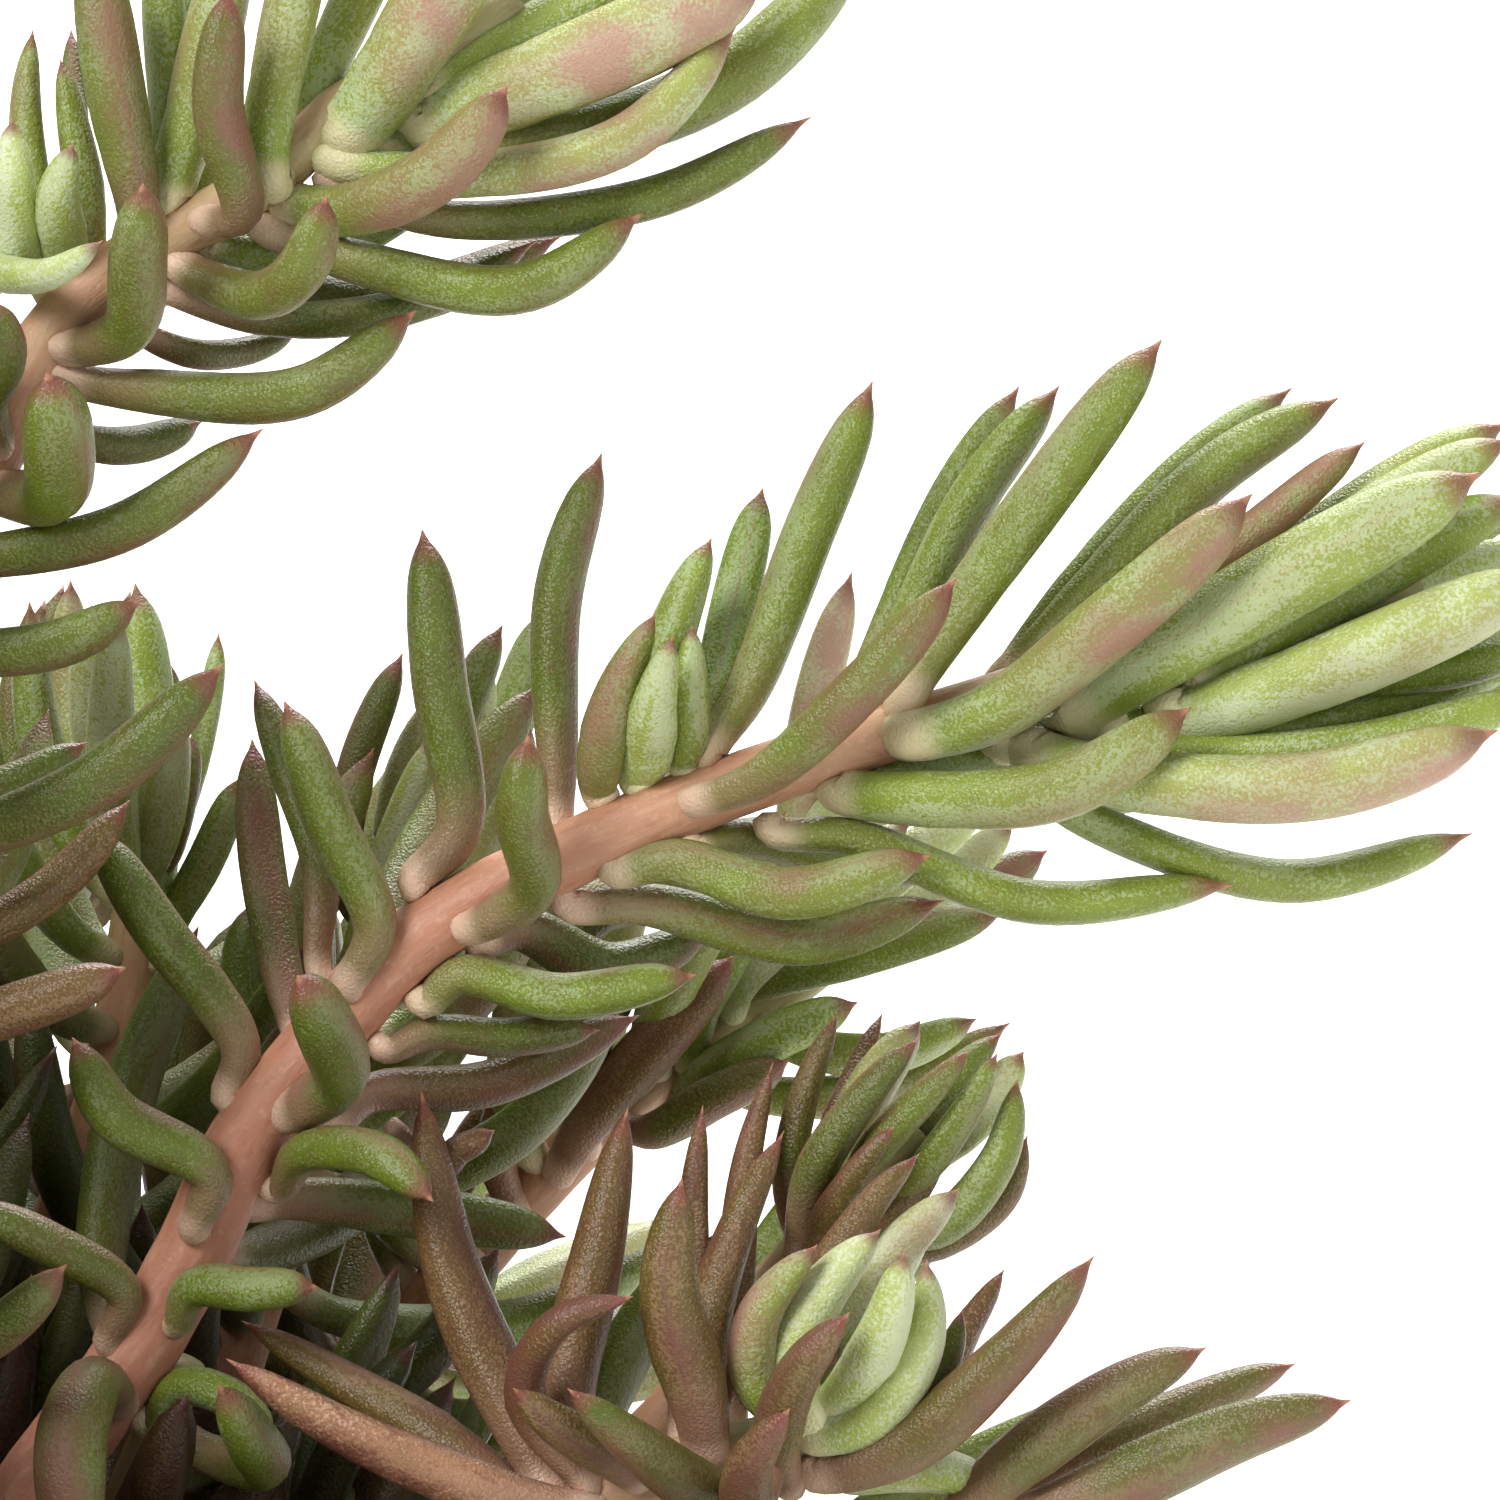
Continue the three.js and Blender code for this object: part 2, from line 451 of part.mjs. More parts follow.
// A leaf by the rule: spread round the stem, opening wide low down and closing over the growing tip.
function ruledLeaf(stem, index, along, tweak) {
  const share = along / stem.length;
  const axis = stem.curve.getPointAt(share);
  const forward = stem.curve.getTangentAt(share);
  const first = squareTo(forward);
  const second = new THREE.Vector3().crossVectors(forward, first);
  const turn = index * leafTurn + (draw(index + stem.length) - 0.5) * 0.4 + tweak.turn;
  const outward = first.multiplyScalar(Math.cos(turn)).addScaledVector(second, Math.sin(turn));
  const young = THREE.MathUtils.smoothstep(along, stem.length - 14, stem.length);
  const old = 1 - THREE.MathUtils.smoothstep(along, stemDepth + 4, stemDepth + 30);
  const opening = 52 + 14 * old - 38 * young + 14 * (draw(index * 3 + 1) - 0.5);
  const open = THREE.MathUtils.degToRad(opening) + tweak.open;
  const reach = leafLength * (1 - 0.35 * young - 0.15 * old) * (0.9 + 0.2 * draw(index * 7 + 2)) * tweak.size;
  const thick = stemThickness(share);
  const step = (from, amount, angle) => from.clone()
    .addScaledVector(outward, amount * Math.sin(angle))
    .addScaledVector(forward, amount * Math.cos(angle));
  const foot = axis.clone().addScaledVector(outward, thick * 0.9);
  const elbow = step(foot, reach * 0.16, open + 0.45);
  const belly = step(elbow, reach * 0.45, open);
  const tip = step(belly, reach * 0.42, open - 0.35).add(new THREE.Vector3(0, 0, reach * 0.05));
  const radius = leafRadius * (0.92 + 0.16 * draw(index * 5 + 3)) * (1 - 0.2 * young);
  const farShape = stem.short ? shortLeaf : farLeaf;
  const shape = stem.leaves ? plainLeaf : farShape;
  return { leaf: makeLeaf([axis, foot, elbow, belly, tip], radius, shape), outward, tip };
}

// Ways to bend a leaf clear of its neighbours, tried in turn: a measured leaf moves towards or away from the
// viewer, and a ruled leaf turns round the stem, opens or closes, or stays shorter.
const pushes = [0, -1.2, 1.2, -2.4, 2.4, -3.8, 3.8, -5.5, 5.5];
const turnsAndOpenings = [
  [0, 0], [0.3, 0], [-0.3, 0], [0, -0.3], [0, 0.3], [0.6, -0.15], [-0.6, -0.15], [0, -0.5],
];
const tweaks = [];
for (const size of [1, 0.85, 0.7]) {
  for (const [turn, open] of turnsAndOpenings) {
    tweaks.push({ turn, open, size });
  }
}

const tallStems = [...measuredStems, ...plainStems];
const stems = [...tallStems, ...shortStems(tallStems.map((entry) => entry.rise[0]))].map(stemOf);
for (const stem of stems) {
  keepBalls(ballsOf(stem.curve, stemRadius, stem.name, 0, "stem"));
  stem.grown = [];
}

for (const stem of stems) {
  for (const entry of stem.leaves ?? []) {
    let best = null;
    for (const push of pushes) {
      const leaf = measuredLeaf(stem, entry, push);
      const balls = ballsOf(leaf.curve, leaf.radius, stem.name, 0.15, "leaf");
      const depth = crowding(balls);
      if (!best || depth < best.depth - 0.05) {
        best = { leaf, balls, depth };
      }
      if (depth <= 0) {
        break;
      }
    }
    keepBalls(best.balls);
    stem.grown.push(best.leaf);
  }
}

// Away from the measured stems every third place for a leaf stays empty.
for (const stem of stems) {
  let index = 0;
  let along = stemDepth + 5;
  while (along < stem.length - 0.6) {
    const empty = !stem.leaves && index % farLeafGap === farLeafGap - 1;
    for (const tweak of empty ? [] : tweaks) {
      const { leaf, outward, tip } = ruledLeaf(stem, index, along, tweak);
      const shown = stem.leaves && isInView(tip) && outward.dot(viewNear) > -0.4;
      const balls = ballsOf(leaf.curve, leaf.radius, stem.name, 0.15, "leaf");
      if (!shown && crowding(balls) <= 0) {
        keepBalls(balls);
        stem.grown.push(leaf);
        break;
      }
    }
    index += 1;
    along += leafSpacing * (stem.length - along > 12 ? 1 : 0.5);
  }
}

function leafyStem(stem) {
  const clear = (stemDepth + 3) / stem.length;
  const rings = Math.ceil((stem.length - stemDepth - 3) / (stem.leaves ? stemRingEvery : farRingEvery));
  const profile = [new THREE.Vector2(0, 0), new THREE.Vector2(stemThickness(0), 0)];
  for (let i = 0; i <= rings; i += 1) {
    const share = THREE.MathUtils.lerp(clear, 1, i / rings);
    profile.push(new THREE.Vector2(stemThickness(share), share));
  }
  profile.push(new THREE.Vector2(0, 1));
  const blank = new THREE.LatheGeometry(profile, stem.short ? shortSides : stemSides);
  const sideways = squareTo(stem.curve.getPointAt(1).sub(stem.curve.getPointAt(0)).normalize());
  const trunk = solidOf(bent(blank, stem.curve, sideways, 1));
  const leaves = stem.grown.map(leafSolid).filter(Boolean);
  const fused = wasm.Manifold.union([trunk, ...leaves]).simplify(0.05);
  return fused.decompose().sort((one, other) => other.volume() - one.volume())[0];
}

function pot() {
  const collarBottom = potHeight - collarHeight;
  const shoulder = rimRadius - collarStep;
  const underCollar = shoulder - 1.5;
  const body = solidOf(turned([
    [0, 0], [footRadius, 0], [footRadius + 1, 1], [underCollar, collarBottom - 0.5],
    [shoulder + 2, collarBottom], [rimRadius, potHeight - 1.2], [rimRadius - 1.2, potHeight],
    [rimRadius - wallThickness + 1, potHeight], [rimRadius - wallThickness, potHeight - 1],
    [footRadius - 1.5, floorThickness + 2], [footRadius - 3.5, floorThickness], [0, floorThickness],
  ], potSides));
  let drained = body;
  for (let i = 0; i < 3; i += 1) {
    const angle = Math.PI / 2 + (i * 2 * Math.PI) / 3;
    const x = drainCircle * Math.cos(angle);
    const y = drainCircle * Math.sin(angle);
    drained = drained.subtract(solidOf(pin(drainRadius, -1, floorThickness + 1, 16, x, y)));
  }
  return drained;
}

// Soil body: it follows the pot's inner wall with a hairline gap, and its top is gently heaped and uneven.
function soil() {
  const wallRun = (rimRadius - wallThickness - footRadius + 1.5) / (potHeight - 1 - floorThickness - 2);
  const wallAt = (height) => footRadius - 1.5 + (height - floorThickness - 2) * wallRun - soilGap * 1.4;
  const bottom = floorThickness + soilGap;
  const geometry = turned([
    [0, bottom], [footRadius - 4.5, bottom], [wallAt(bottom + 2.5), bottom + 2.5],
    [wallAt(soilTop - 1), soilTop - 1], [wallAt(soilTop) - 2, soilTop], [27, soilTop], [0, soilTop],
  ], potSides);
  const places = geometry.attributes.position;
  for (let i = 0; i < places.count; i += 1) {
    const x = places.getX(i);
    const y = places.getY(i);
    if (places.getZ(i) > soilTop - 0.5) {
      const heap = 1 - Math.hypot(x, y) / rimRadius;
      const bumps = Math.sin(x * 0.31 + 1) * Math.cos(y * 0.37) * 0.5;
      places.setZ(i, soilTop + soilRise * 0.6 * heap + bumps);
    }
  }
  let body = solidOf(geometry);
  for (const stem of stems) {
    const foot = stem.curve.getPointAt(0);
    const sides = stem.short ? 4 : 6;
    const reach = (stemRadius + soilGap) / Math.cos(Math.PI / sides);
    body = body.subtract(solidOf(pin(reach, foot.z - soilGap, soilTop + 8, sides, foot.x, foot.y)));
  }
  return body;
}

const clay = { color: 0xb5673f, roughness: 0.85, metalness: 0 };
const earth = { color: 0x3a2a1f, roughness: 0.95, metalness: 0 };
const green = { color: 0x6f9150, roughness: 0.5, metalness: 0 };
const part = new THREE.Group();

function addNode(name, solid, look) {
  const mesh = new THREE.Mesh(geometryOf(solid), new THREE.MeshStandardMaterial(look));
  mesh.name = name;
  part.add(mesh);
}

addNode("pot", pot(), clay);
addNode("soil", soil(), earth);
for (const stem of stems) {
  addNode(stem.name, leafyStem(stem), green);
}

export default part;
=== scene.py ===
# Potted reflexed stonecrop: clay pot, soil and leafy stems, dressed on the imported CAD.
import math

import bmesh
import bpy
import numpy as np
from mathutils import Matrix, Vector, noise


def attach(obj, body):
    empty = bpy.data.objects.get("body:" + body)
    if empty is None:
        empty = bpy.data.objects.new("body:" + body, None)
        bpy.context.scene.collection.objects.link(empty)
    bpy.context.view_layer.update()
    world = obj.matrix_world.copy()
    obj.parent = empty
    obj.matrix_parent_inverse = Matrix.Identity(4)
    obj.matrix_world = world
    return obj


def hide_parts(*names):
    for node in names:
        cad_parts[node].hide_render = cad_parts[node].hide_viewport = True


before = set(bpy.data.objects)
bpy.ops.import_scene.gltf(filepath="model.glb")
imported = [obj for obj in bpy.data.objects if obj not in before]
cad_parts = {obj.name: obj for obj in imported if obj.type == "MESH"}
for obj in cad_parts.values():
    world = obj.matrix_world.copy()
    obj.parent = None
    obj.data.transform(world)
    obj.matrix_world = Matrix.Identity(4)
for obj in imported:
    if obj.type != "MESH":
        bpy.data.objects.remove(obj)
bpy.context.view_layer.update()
print("frame loaded")

mm = 0.001

# The close-up that the stems are measured in: 1500 points wide and high, 25 to a millimetre.
view = dict(centre=(58, 0, 130), middle=750, margin=20, perMm=25, tilt=math.radians(12), distance=400)
viewCentre = np.array(view["centre"], float)
viewUp = np.array((0, math.sin(view["tilt"]), math.cos(view["tilt"])))
viewNear = np.array((0, -math.cos(view["tilt"]), math.sin(view["tilt"])))


def placeInView(spot, toward):
    shrink = (1 - toward / view["distance"]) / view["perMm"]
    across = np.array((1.0, 0, 0)) * (spot[0] - view["middle"]) * shrink
    return viewCentre + across + viewUp * (view["middle"] - spot[1]) * shrink + viewNear * toward


def seenAt(points):  # where places lie in the close-up, and how many points a millimetre takes there
    offset = np.asarray(points) - viewCentre
    grow = view["perMm"] / (1 - offset @ viewNear / view["distance"])
    return view["middle"] + offset[..., 0] * grow, view["middle"] - offset @ viewUp * grow, grow


def isInView(point):
    across, down, _ = seenAt(point)
    low, high = -view["margin"], 2 * view["middle"] + view["margin"]
    return low < across < high and low < down < high


# Gaps the close-up shows between the leaves: centre across and down, radius.
openGaps = np.array([
    (240, 590, 60), (330, 600, 70), (165, 560, 30), (110, 570, 12), (196, 662, 14), (204, 705, 10),
    (243, 725, 12), (210, 830, 10), (183, 868, 8), (222, 905, 10), (120, 948, 8), (286, 850, 8),
    (284, 805, 6), (390, 730, 6), (440, 480, 60), (650, 520, 60), (500, 560, 40), (1420, 350, 50),
    (1340, 330, 40), (1250, 370, 20), (1460, 390, 12), (1395, 415, 5), (900, 985, 22), (960, 975, 34),
    (1030, 975, 40), (1080, 1040, 46), (1090, 1140, 50), (1050, 1230, 34), (850, 985, 8), (655, 1172, 16),
    (668, 1150, 8), (722, 1142, 9), (718, 1168, 8), (532, 1222, 18), (1200, 1000, 100), (1350, 1180, 150),
    (1050, 700, 30), (1180, 960, 60)], float)


def coversGap(balls):
    across, down, grow = seenAt([ball[:3] for ball in balls])
    apart = np.hypot(across[:, None] - openGaps[:, 0], down[:, None] - openGaps[:, 1])
    return bool(np.any(apart < openGaps[:, 2] + (grow * [ball[3] for ball in balls])[:, None]))


def draw(seed):  # repeatable draw between 0 and 1
    wave = math.sin(seed * 12.9898) * 43758.5453
    return wave - math.floor(wave)


def unit(vector):
    return vector / max(np.linalg.norm(vector), 1e-9)


def squareTo(direction):
    helper = np.array((0, 0, 1.0)) if abs(direction[2]) < 0.9 else np.array((1.0, 0, 0))
    return unit(np.cross(direction, helper))


def smoothStep(value, low, high):
    share = min(max((value - low) / (high - low), 0), 1)
    return share * share * (3 - 2 * share)


class Line:  # smooth line through a few places, read by its share of length
    def __init__(self, places, steps=24):
        ends = np.array([2 * places[0] - places[1], *places, 2 * places[-1] - places[-2]])
        gaps = np.maximum(np.linalg.norm(np.diff(ends, axis=0), axis=1), 1e-4)[:, None] ** 0.5
        a, b, c, d = (ends[k:len(ends) - 3 + k] for k in range(4))
        before, here, after = (gaps[k:len(gaps) - 2 + k] for k in range(3))
        leave = ((b - a) / before - (c - a) / (before + here) + (c - b) / here) * here
        arrive = ((c - b) / here - (d - b) / (here + after) + (d - c) / after) * here
        t = (np.arange(steps) / steps)[None, :, None]
        b, c, leave, arrive = (v[:, None, :] for v in (b, c, leave, arrive))
        spots = (b + leave * t + (3 * (c - b) - 2 * leave - arrive) * t ** 2
                 + (2 * (b - c) + leave + arrive) * t ** 3)
        self.spots = np.vstack([spots.reshape(-1, 3), places[-1]])
        self.run = np.append(0, np.cumsum(np.linalg.norm(np.diff(self.spots, axis=0), axis=1)))
        self.length = self.run[-1]

    def at(self, shares):
        where = np.asarray(shares) * self.length
        return np.stack([np.interp(where, self.run, self.spots[:, k]) for k in range(3)], axis=-1)

    def heading(self, shares):
        shares = np.asarray(shares)
        ahead = self.at(np.minimum(shares + 0.01, 1)) - self.at(np.maximum(shares - 0.01, 0))
        return ahead / np.linalg.norm(ahead, axis=-1, keepdims=True)


# Sizes in millimetres.
pot = dict(height=88, rimRadius=53, collarHeight=22, collarStep=3, footRadius=35, wall=5, floor=6,
           drainRadius=4.5, drainCircle=17, drains=3)
soil = dict(top=78, gap=0.3, rise=1.6, stemDepth=12, straightRise=3)
stemSize = dict(radius=1.75, tipRadius=0.9, swell=0.05)
leafSize = dict(length=16, radius=1.3, spacing=4.7, turn=math.radians(275))
soilTop = soil["top"]

# A leaf's row: foot, elbow, belly and tip across and down in the close-up, width there, how far its tip
# stands out towards the viewer, tone from 0 young to 1 brown, blush and, on a few, their own taper.
measuredStems = [
    dict(
        name="main_shoot", toward=0,
        rise=[(18.5, -6, soilTop), (20.5, -6, 88)],
        seen=[(40, 1480), (137, 1350), (194, 1250), (240, 1150), (315, 1050), (410, 945), (555, 862),
              (710, 795), (855, 745), (1000, 700), (1150, 650), (1300, 610), (1420, 580)],
        leaves=[
            ((115, 1405), (95, 1385), (72, 1440), (75, 1560), 70, 6, 0.6, 1.0),
            ((105, 1342), (122, 1295), (45, 1245), (-40, 1205), 50, 2, 0.62, 0.2),
            ((192, 1225), (208, 1175), (110, 1115), (72, 1037), 60, 2, 0.56, 0.2),
            ((225, 1098), (238, 1050), (150, 925), (88, 825), 60, 0, 0.6, 0.1),
            ((318, 975), (318, 870), (285, 770), (254, 679), 45, -4, 0.66, 0.1),
            ((345, 985), (372, 930), (325, 820), (284, 700), 60, 1, 0.52, 0.2),
            ((412, 882), (455, 830), (435, 680), (422, 528), 65, 0, 0.6, 0.2),
            ((560, 830), (560, 770), (560, 600), (602, 452), 55, -1, 0.58, 0.3),
            ((705, 755), (745, 690), (810, 520), (873, 380), 60, -1, 0.44, 0.2),
            ((700, 750), (712, 700), (735, 600), (763, 487), 45, -4, 0.34, 0.0),
            ((870, 715), (905, 640), (975, 500), (1060, 385), 55, -2, 0.44, 0.1),
            ((850, 720), (885, 640), (950, 500), (1020, 385), 45, -5, 0.44, 0.1),
            ((905, 705), (950, 630), (1065, 470), (1163, 338), 65, 1, 0.42, 0.2),
            ((1000, 690), (1060, 630), (1215, 475), (1340, 397), 60, -1, 0.4, 0.3),
            ((1010, 680), (1060, 610), (1180, 480), (1293, 387), 50, -4, 0.38, 0.1),
            ((1110, 650), (1160, 602), (1268, 524), (1366, 441), 46, 0, 0.4, 2.5),
            ((1175, 655), (1235, 605), (1370, 507), (1508, 422), 64, -2, 0.24, 0.4),
            ((290, 1110), (335, 1075), (318, 1020), (297, 975), 70, 8, 0.6, 0.3),
            ((470, 925), (530, 885), (518, 810), (528, 735), 62, 5, 0.54, 0.5),
            ((695, 800), (760, 775), (865, 680), (957, 577), 56, 4, 0.5, 1.3),
            ((910, 733), (990, 710), (1120, 610), (1253, 493), 75, 4, 0.34, 1.2),
            ((1068, 708), (1130, 670), (1310, 565), (1482, 472), 78, 4, 0.24, 0.2),
            ((1180, 712), (1260, 692), (1400, 637), (1545, 572), 80, 3, 0.16, 0.4),
            ((600, 790), (600, 765), (619, 690), (656, 612), 54, 3, 0.44, 1.0, 0.5),
            ((640, 775), (648, 750), (655, 700), (673, 635), 54, 4, 0.2, 0.2, 0.5),
            ((685, 765), (690, 740), (690, 690), (692, 625), 42, 2, 0.28, 0.2, 0.4),
            ((650, 760), (655, 700), (680, 620), (712, 537), 65, 0, 0.34, 0.1, 0.35),
            ((152, 1428), (182, 1390), (228, 1400), (275, 1440), 46, 1, 0.4, 0.0),
            ((205, 1452), (262, 1464), (248, 1436), (218, 1384), 54, 8, 0.5, 0.2),
            ((180, 1325), (195, 1290), (255, 1292), (318, 1287), 50, 3, 0.46, 0.1),
            ((280, 1190), (305, 1155), (380, 1158), (434, 1202), 50, 7, 0.52, 0.2),
            ((250, 1205), (300, 1200), (430, 1215), (567, 1237), 55, -4, 0.54, 0.2),
            ((425, 1005), (460, 978), (560, 1000), (697, 975), 55, 1, 0.44, 0.2),
            ((385, 1052), (430, 1035), (500, 1040), (600, 1030), 45, -2, 0.64, 0.2),
            ((330, 1130), (370, 1095), (490, 1085), (640, 1015), 50, -5, 0.78, 0.6),
            ((480, 945), (520, 930), (610, 970), (712, 933), 55, -4, 0.64, 0.1),
            ((615, 870), (675, 862), (790, 895), (932, 855), 55, 2, 0.42, 0.6),
            ((570, 905), (650, 905), (800, 940), (945, 900), 50, -2, 0.5, 0.4),
            ((772, 833), (850, 840), (1030, 905), (1235, 885), 52, 0, 0.4, 0.2),
            ((840, 785), (915, 795), (1060, 785), (1192, 707), 70, 4, 0.34, 0.5),
            ((1035, 748), (1130, 775), (1310, 782), (1499, 730), 78, 5, 0.2, 1.1),
            ((1120, 738), (1220, 752), (1370, 742), (1545, 690), 60, 1, 0.24, 0.1),
            ((1050, 790), (1130, 835), (1290, 878), (1474, 833), 52, -2, 0.36, 0.2),
            ((1190, 680), (1250, 645), (1395, 560), (1520, 495), 60, 1, 0.3, 0.0),
            ((1190, 728), (1280, 726), (1400, 700), (1552, 640), 52, 1, 0.36, 0.0),
        ],
        more=[
            ((1190, 690), (1258, 662), (1400, 592), (1545, 548), 58, 1, 0.14, 0.0),
            ((300, 1040), (285, 985), (262, 860), (252, 738), 46, -6, 0.7, 0.8),
            ((690, 850), (752, 840), (850, 862), (965, 872), 52, -4, 0.44, 0.3),
            ((868, 792), (930, 774), (1040, 748), (1165, 720), 60, -2, 0.24, 0.0),
            ((1000, 738), (1050, 730), (1160, 700), (1300, 640), 62, -3, 0.2, 0.0),
            ((1080, 716), (1150, 716), (1290, 700), (1440, 650), 58, -2, 0.3, 0.0),
            ((1240, 640), (1320, 640), (1420, 600), (1530, 560), 60, -2, 0.3, 0.0),
            ((1200, 700), (1300, 720), (1420, 700), (1540, 650), 60, -2, 0.5, 0.0),
            ((1260, 640), (1330, 670), (1430, 668), (1550, 640), 50, -3, 0.46, 0.0),
            ((1210, 640), (1280, 620), (1390, 560), (1500, 520), 60, -3, 0.4, 0.0),
            ((440, 1165), (455, 1150), (475, 1140), (495, 1130), 35, -4, 0.88, 0.2),
            ((465, 925), (500, 905), (560, 940), (628, 905), 45, -5, 0.66, 0.1),
            ((1200, 640), (1270, 590), (1400, 500), (1512, 438), 60, -1, 0.22, 0.2),
        ],
    ),
    dict(
        name="upper_shoot", toward=5,
        rise=[(15, -18, soilTop), (18, -14, 90), (21.5, -10.5, 104), (22.5, -9, 118)],
        seen=[(-110, 650), (-60, 550), (0, 440), (50, 335), (110, 275), (180, 230), (240, 200), (300, 150),
              (340, 110), (430, 60), (520, 0)],
        leaves=[
            ((140, 235), (135, 190), (115, 90), (92, -60), 58, 2, 0.5, 0.7),
            ((70, 345), (125, 325), (135, 250), (143, 183), 65, 5, 0.52, 0.4),
            ((205, 218), (240, 212), (216, 105), (228, -12), 54, 4, 0.6, 1.4),
            ((165, 190), (168, 130), (162, 30), (155, -60), 52, -1, 0.4, 0.1),
            ((270, 180), (270, 135), (290, 30), (320, -110), 62, 1, 0.3, 0.5),
            ((315, 125), (325, 80), (360, 0), (410, -100), 58, 0, 0.26, 0.2),
            ((350, 128), (375, 98), (430, 10), (505, -110), 80, 3, 0.24, 1.3),
            ((292, 200), (355, 205), (440, 165), (508, 86), 68, 5, 0.36, 1.6),
            ((330, 155), (440, 172), (620, 138), (738, 24), 58, 2, 0.22, 1.2),
            ((430, 120), (490, 98), (630, 40), (770, -30), 82, 3, 0.2, 1.4),
            ((330, 180), (430, 215), (650, 195), (813, 116), 50, -1, 0.52, 0.2),
            ((265, 225), (370, 262), (520, 285), (643, 213), 58, 1, 0.46, 0.3),
            ((180, 262), (255, 292), (300, 265), (327, 195), 58, 5, 0.48, 0.6),
            ((150, 280), (260, 315), (400, 305), (538, 240), 45, -2, 0.64, 0.1),
            ((62, 375), (150, 388), (300, 388), (417, 310), 60, 1, 0.52, 0.4),
            ((0, 490), (50, 490), (55, 430), (47, 372), 75, 6, 0.52, 0.3),
            ((450, 130), (540, 138), (720, 78), (868, -60), 76, -2, 0.4, 0.3),
            ((25, 262), (18, 240), (14, 190), (12, 118), 54, 3, 0.1, 0.0, 0.4),
            ((64, 262), (64, 240), (58, 196), (73, 143), 50, 4, 0.16, 0.1, 0.4),
            ((50, 290), (36, 200), (28, 110), (33, 28), 48, -1, 0.36, 0.5, 0.4),
            ((-130, 575), (-50, 560), (120, 525), (264, 428), 55, 2, 0.56, 0.3),
            ((-130, 665), (-60, 655), (60, 640), (142, 600), 55, 2, 0.52, 0.2),
            ((-140, 850), (-60, 840), (90, 780), (225, 663), 65, 2, 0.64, 0.2),
            ((-140, 950), (-60, 945), (50, 885), (130, 800), 50, -3, 0.84, 0.2),
            ((-150, 1040), (-70, 1030), (30, 1000), (127, 967), 60, 2, 0.82, 0.8),
            ((-160, 1390), (-90, 1375), (0, 1325), (67, 1264), 55, 5, 0.62, 0.2),
        ],
        more=[
            ((40, 420), (90, 440), (140, 441), (202, 422), 45, -4, 0.66, 0.1),
            ((120, 320), (185, 350), (240, 350), (300, 330), 35, -5, 0.7, 0.1),
            ((-25, 262), (10, 272), (55, 270), (104, 240), 46, 6, 0.08, 0.0, 0.4),
            ((90, 262), (82, 190), (70, 120), (60, 58), 48, 0, 0.4, 0.5, 0.4),
            ((0, 440), (-12, 400), (5, 350), (-10, 300), 60, 4, 0.52, 0.4),
            ((175, 200), (195, 120), (218, 30), (240, -60), 68, 1, 0.28, 0.5),
            ((430, 90), (500, 50), (600, -10), (700, -90), 75, 0, 0.2, 0.0),
            ((80, 250), (78, 150), (74, 90), (71, 28), 24, -3, 0.6, 0.4),
            ((150, 262), (190, 200), (200, 120), (190, -40), 56, -3, 0.36, 0.1),
            ((380, 152), (420, 122), (520, 60), (600, -40), 60, -2, 0.2, 0.0),
            ((200, 240), (262, 248), (350, 232), (450, 172), 54, -3, 0.34, 0.0),
            ((-140, 800), (-80, 800), (10, 780), (88, 742), 45, -1, 0.6, 0.1),
        ],
    ),
    dict(
        name="lower_shoot", toward=5, taper=0.4,
        rise=[(33, -19, soilTop), (39, -18, 89)],
        seen=[(560, 1530), (680, 1465), (790, 1430), (850, 1380)],
        leaves=[
            ((560, 1500), (520, 1420), (455, 1270), (421, 1090), 75, -4, 0.84, 0.6),
            ((585, 1470), (573, 1390), (602, 1250), (628, 1107), 72, -2, 0.86, 0.6),
            ((706, 1455), (700, 1405), (669, 1285), (682, 1177), 68, 3, 0.8, 0.3),
            ((590, 1485), (528, 1398), (558, 1326), (634, 1296), 50, 4, 0.88, 2.4),
            ((760, 1485), (705, 1485), (635, 1440), (567, 1388), 66, 7, 0.66, 0.7),
            ((590, 1510), (500, 1490), (350, 1430), (225, 1358), 65, 3, 1.0, 1.5),
            ((545, 1520), (440, 1440), (340, 1380), (240, 1320), 55, -4, 0.8, 0.3),
            ((770, 1450), (750, 1500), (752, 1460), (790, 1408), 56, 9, 0.88, 0.8),
            ((790, 1480), (780, 1440), (802, 1372), (850, 1312), 60, 6, 0.76, 0.9),
            ((712, 1450), (712, 1325), (738, 1232), (784, 1131), 56, -3, 0.84, 0.6),
            ((735, 1440), (736, 1290), (747, 1165), (773, 1062), 42, -6, 0.86, 0.6),
            ((800, 1420), (760, 1380), (762, 1318), (818, 1244), 60, 1, 0.3, 1.2),
            ((835, 1400), (860, 1370), (885, 1320), (905, 1250), 62, 4, 0.1, 0.1),
            ((830, 1380), (825, 1290), (870, 1210), (920, 1153), 50, -2, 0.8, 0.4),
            ((815, 1468), (895, 1448), (1005, 1355), (1095, 1255), 74, 3, 0.72, 1.0),
        ],
        more=[
            ((812, 1420), (793, 1365), (822, 1300), (881, 1229), 70, 2, 0.08, 0.3),
            ((850, 1390), (860, 1340), (890, 1280), (933, 1218), 62, 0, 0.1, 0.2),
            ((815, 1430), (865, 1418), (918, 1345), (927, 1259), 64, 4, 0.12, 0.2),
            ((640, 1480), (600, 1450), (550, 1420), (513, 1388), 50, 5, 0.8, 0.3),
            ((850, 1430), (900, 1420), (940, 1370), (963, 1308), 45, 0, 0.6, 1.0),
            ((850, 1420), (930, 1380), (970, 1320), (1005, 1268), 45, -3, 0.9, 0.4),
            ((680, 1450), (690, 1300), (694, 1190), (703, 1104), 38, -6, 0.86, 0.5),
        ],
    ),
    dict(
        name="inner_shoot", toward=-4, taper=0.35,
        rise=[(38, 8, soilTop), (44, 7.5, 91)],
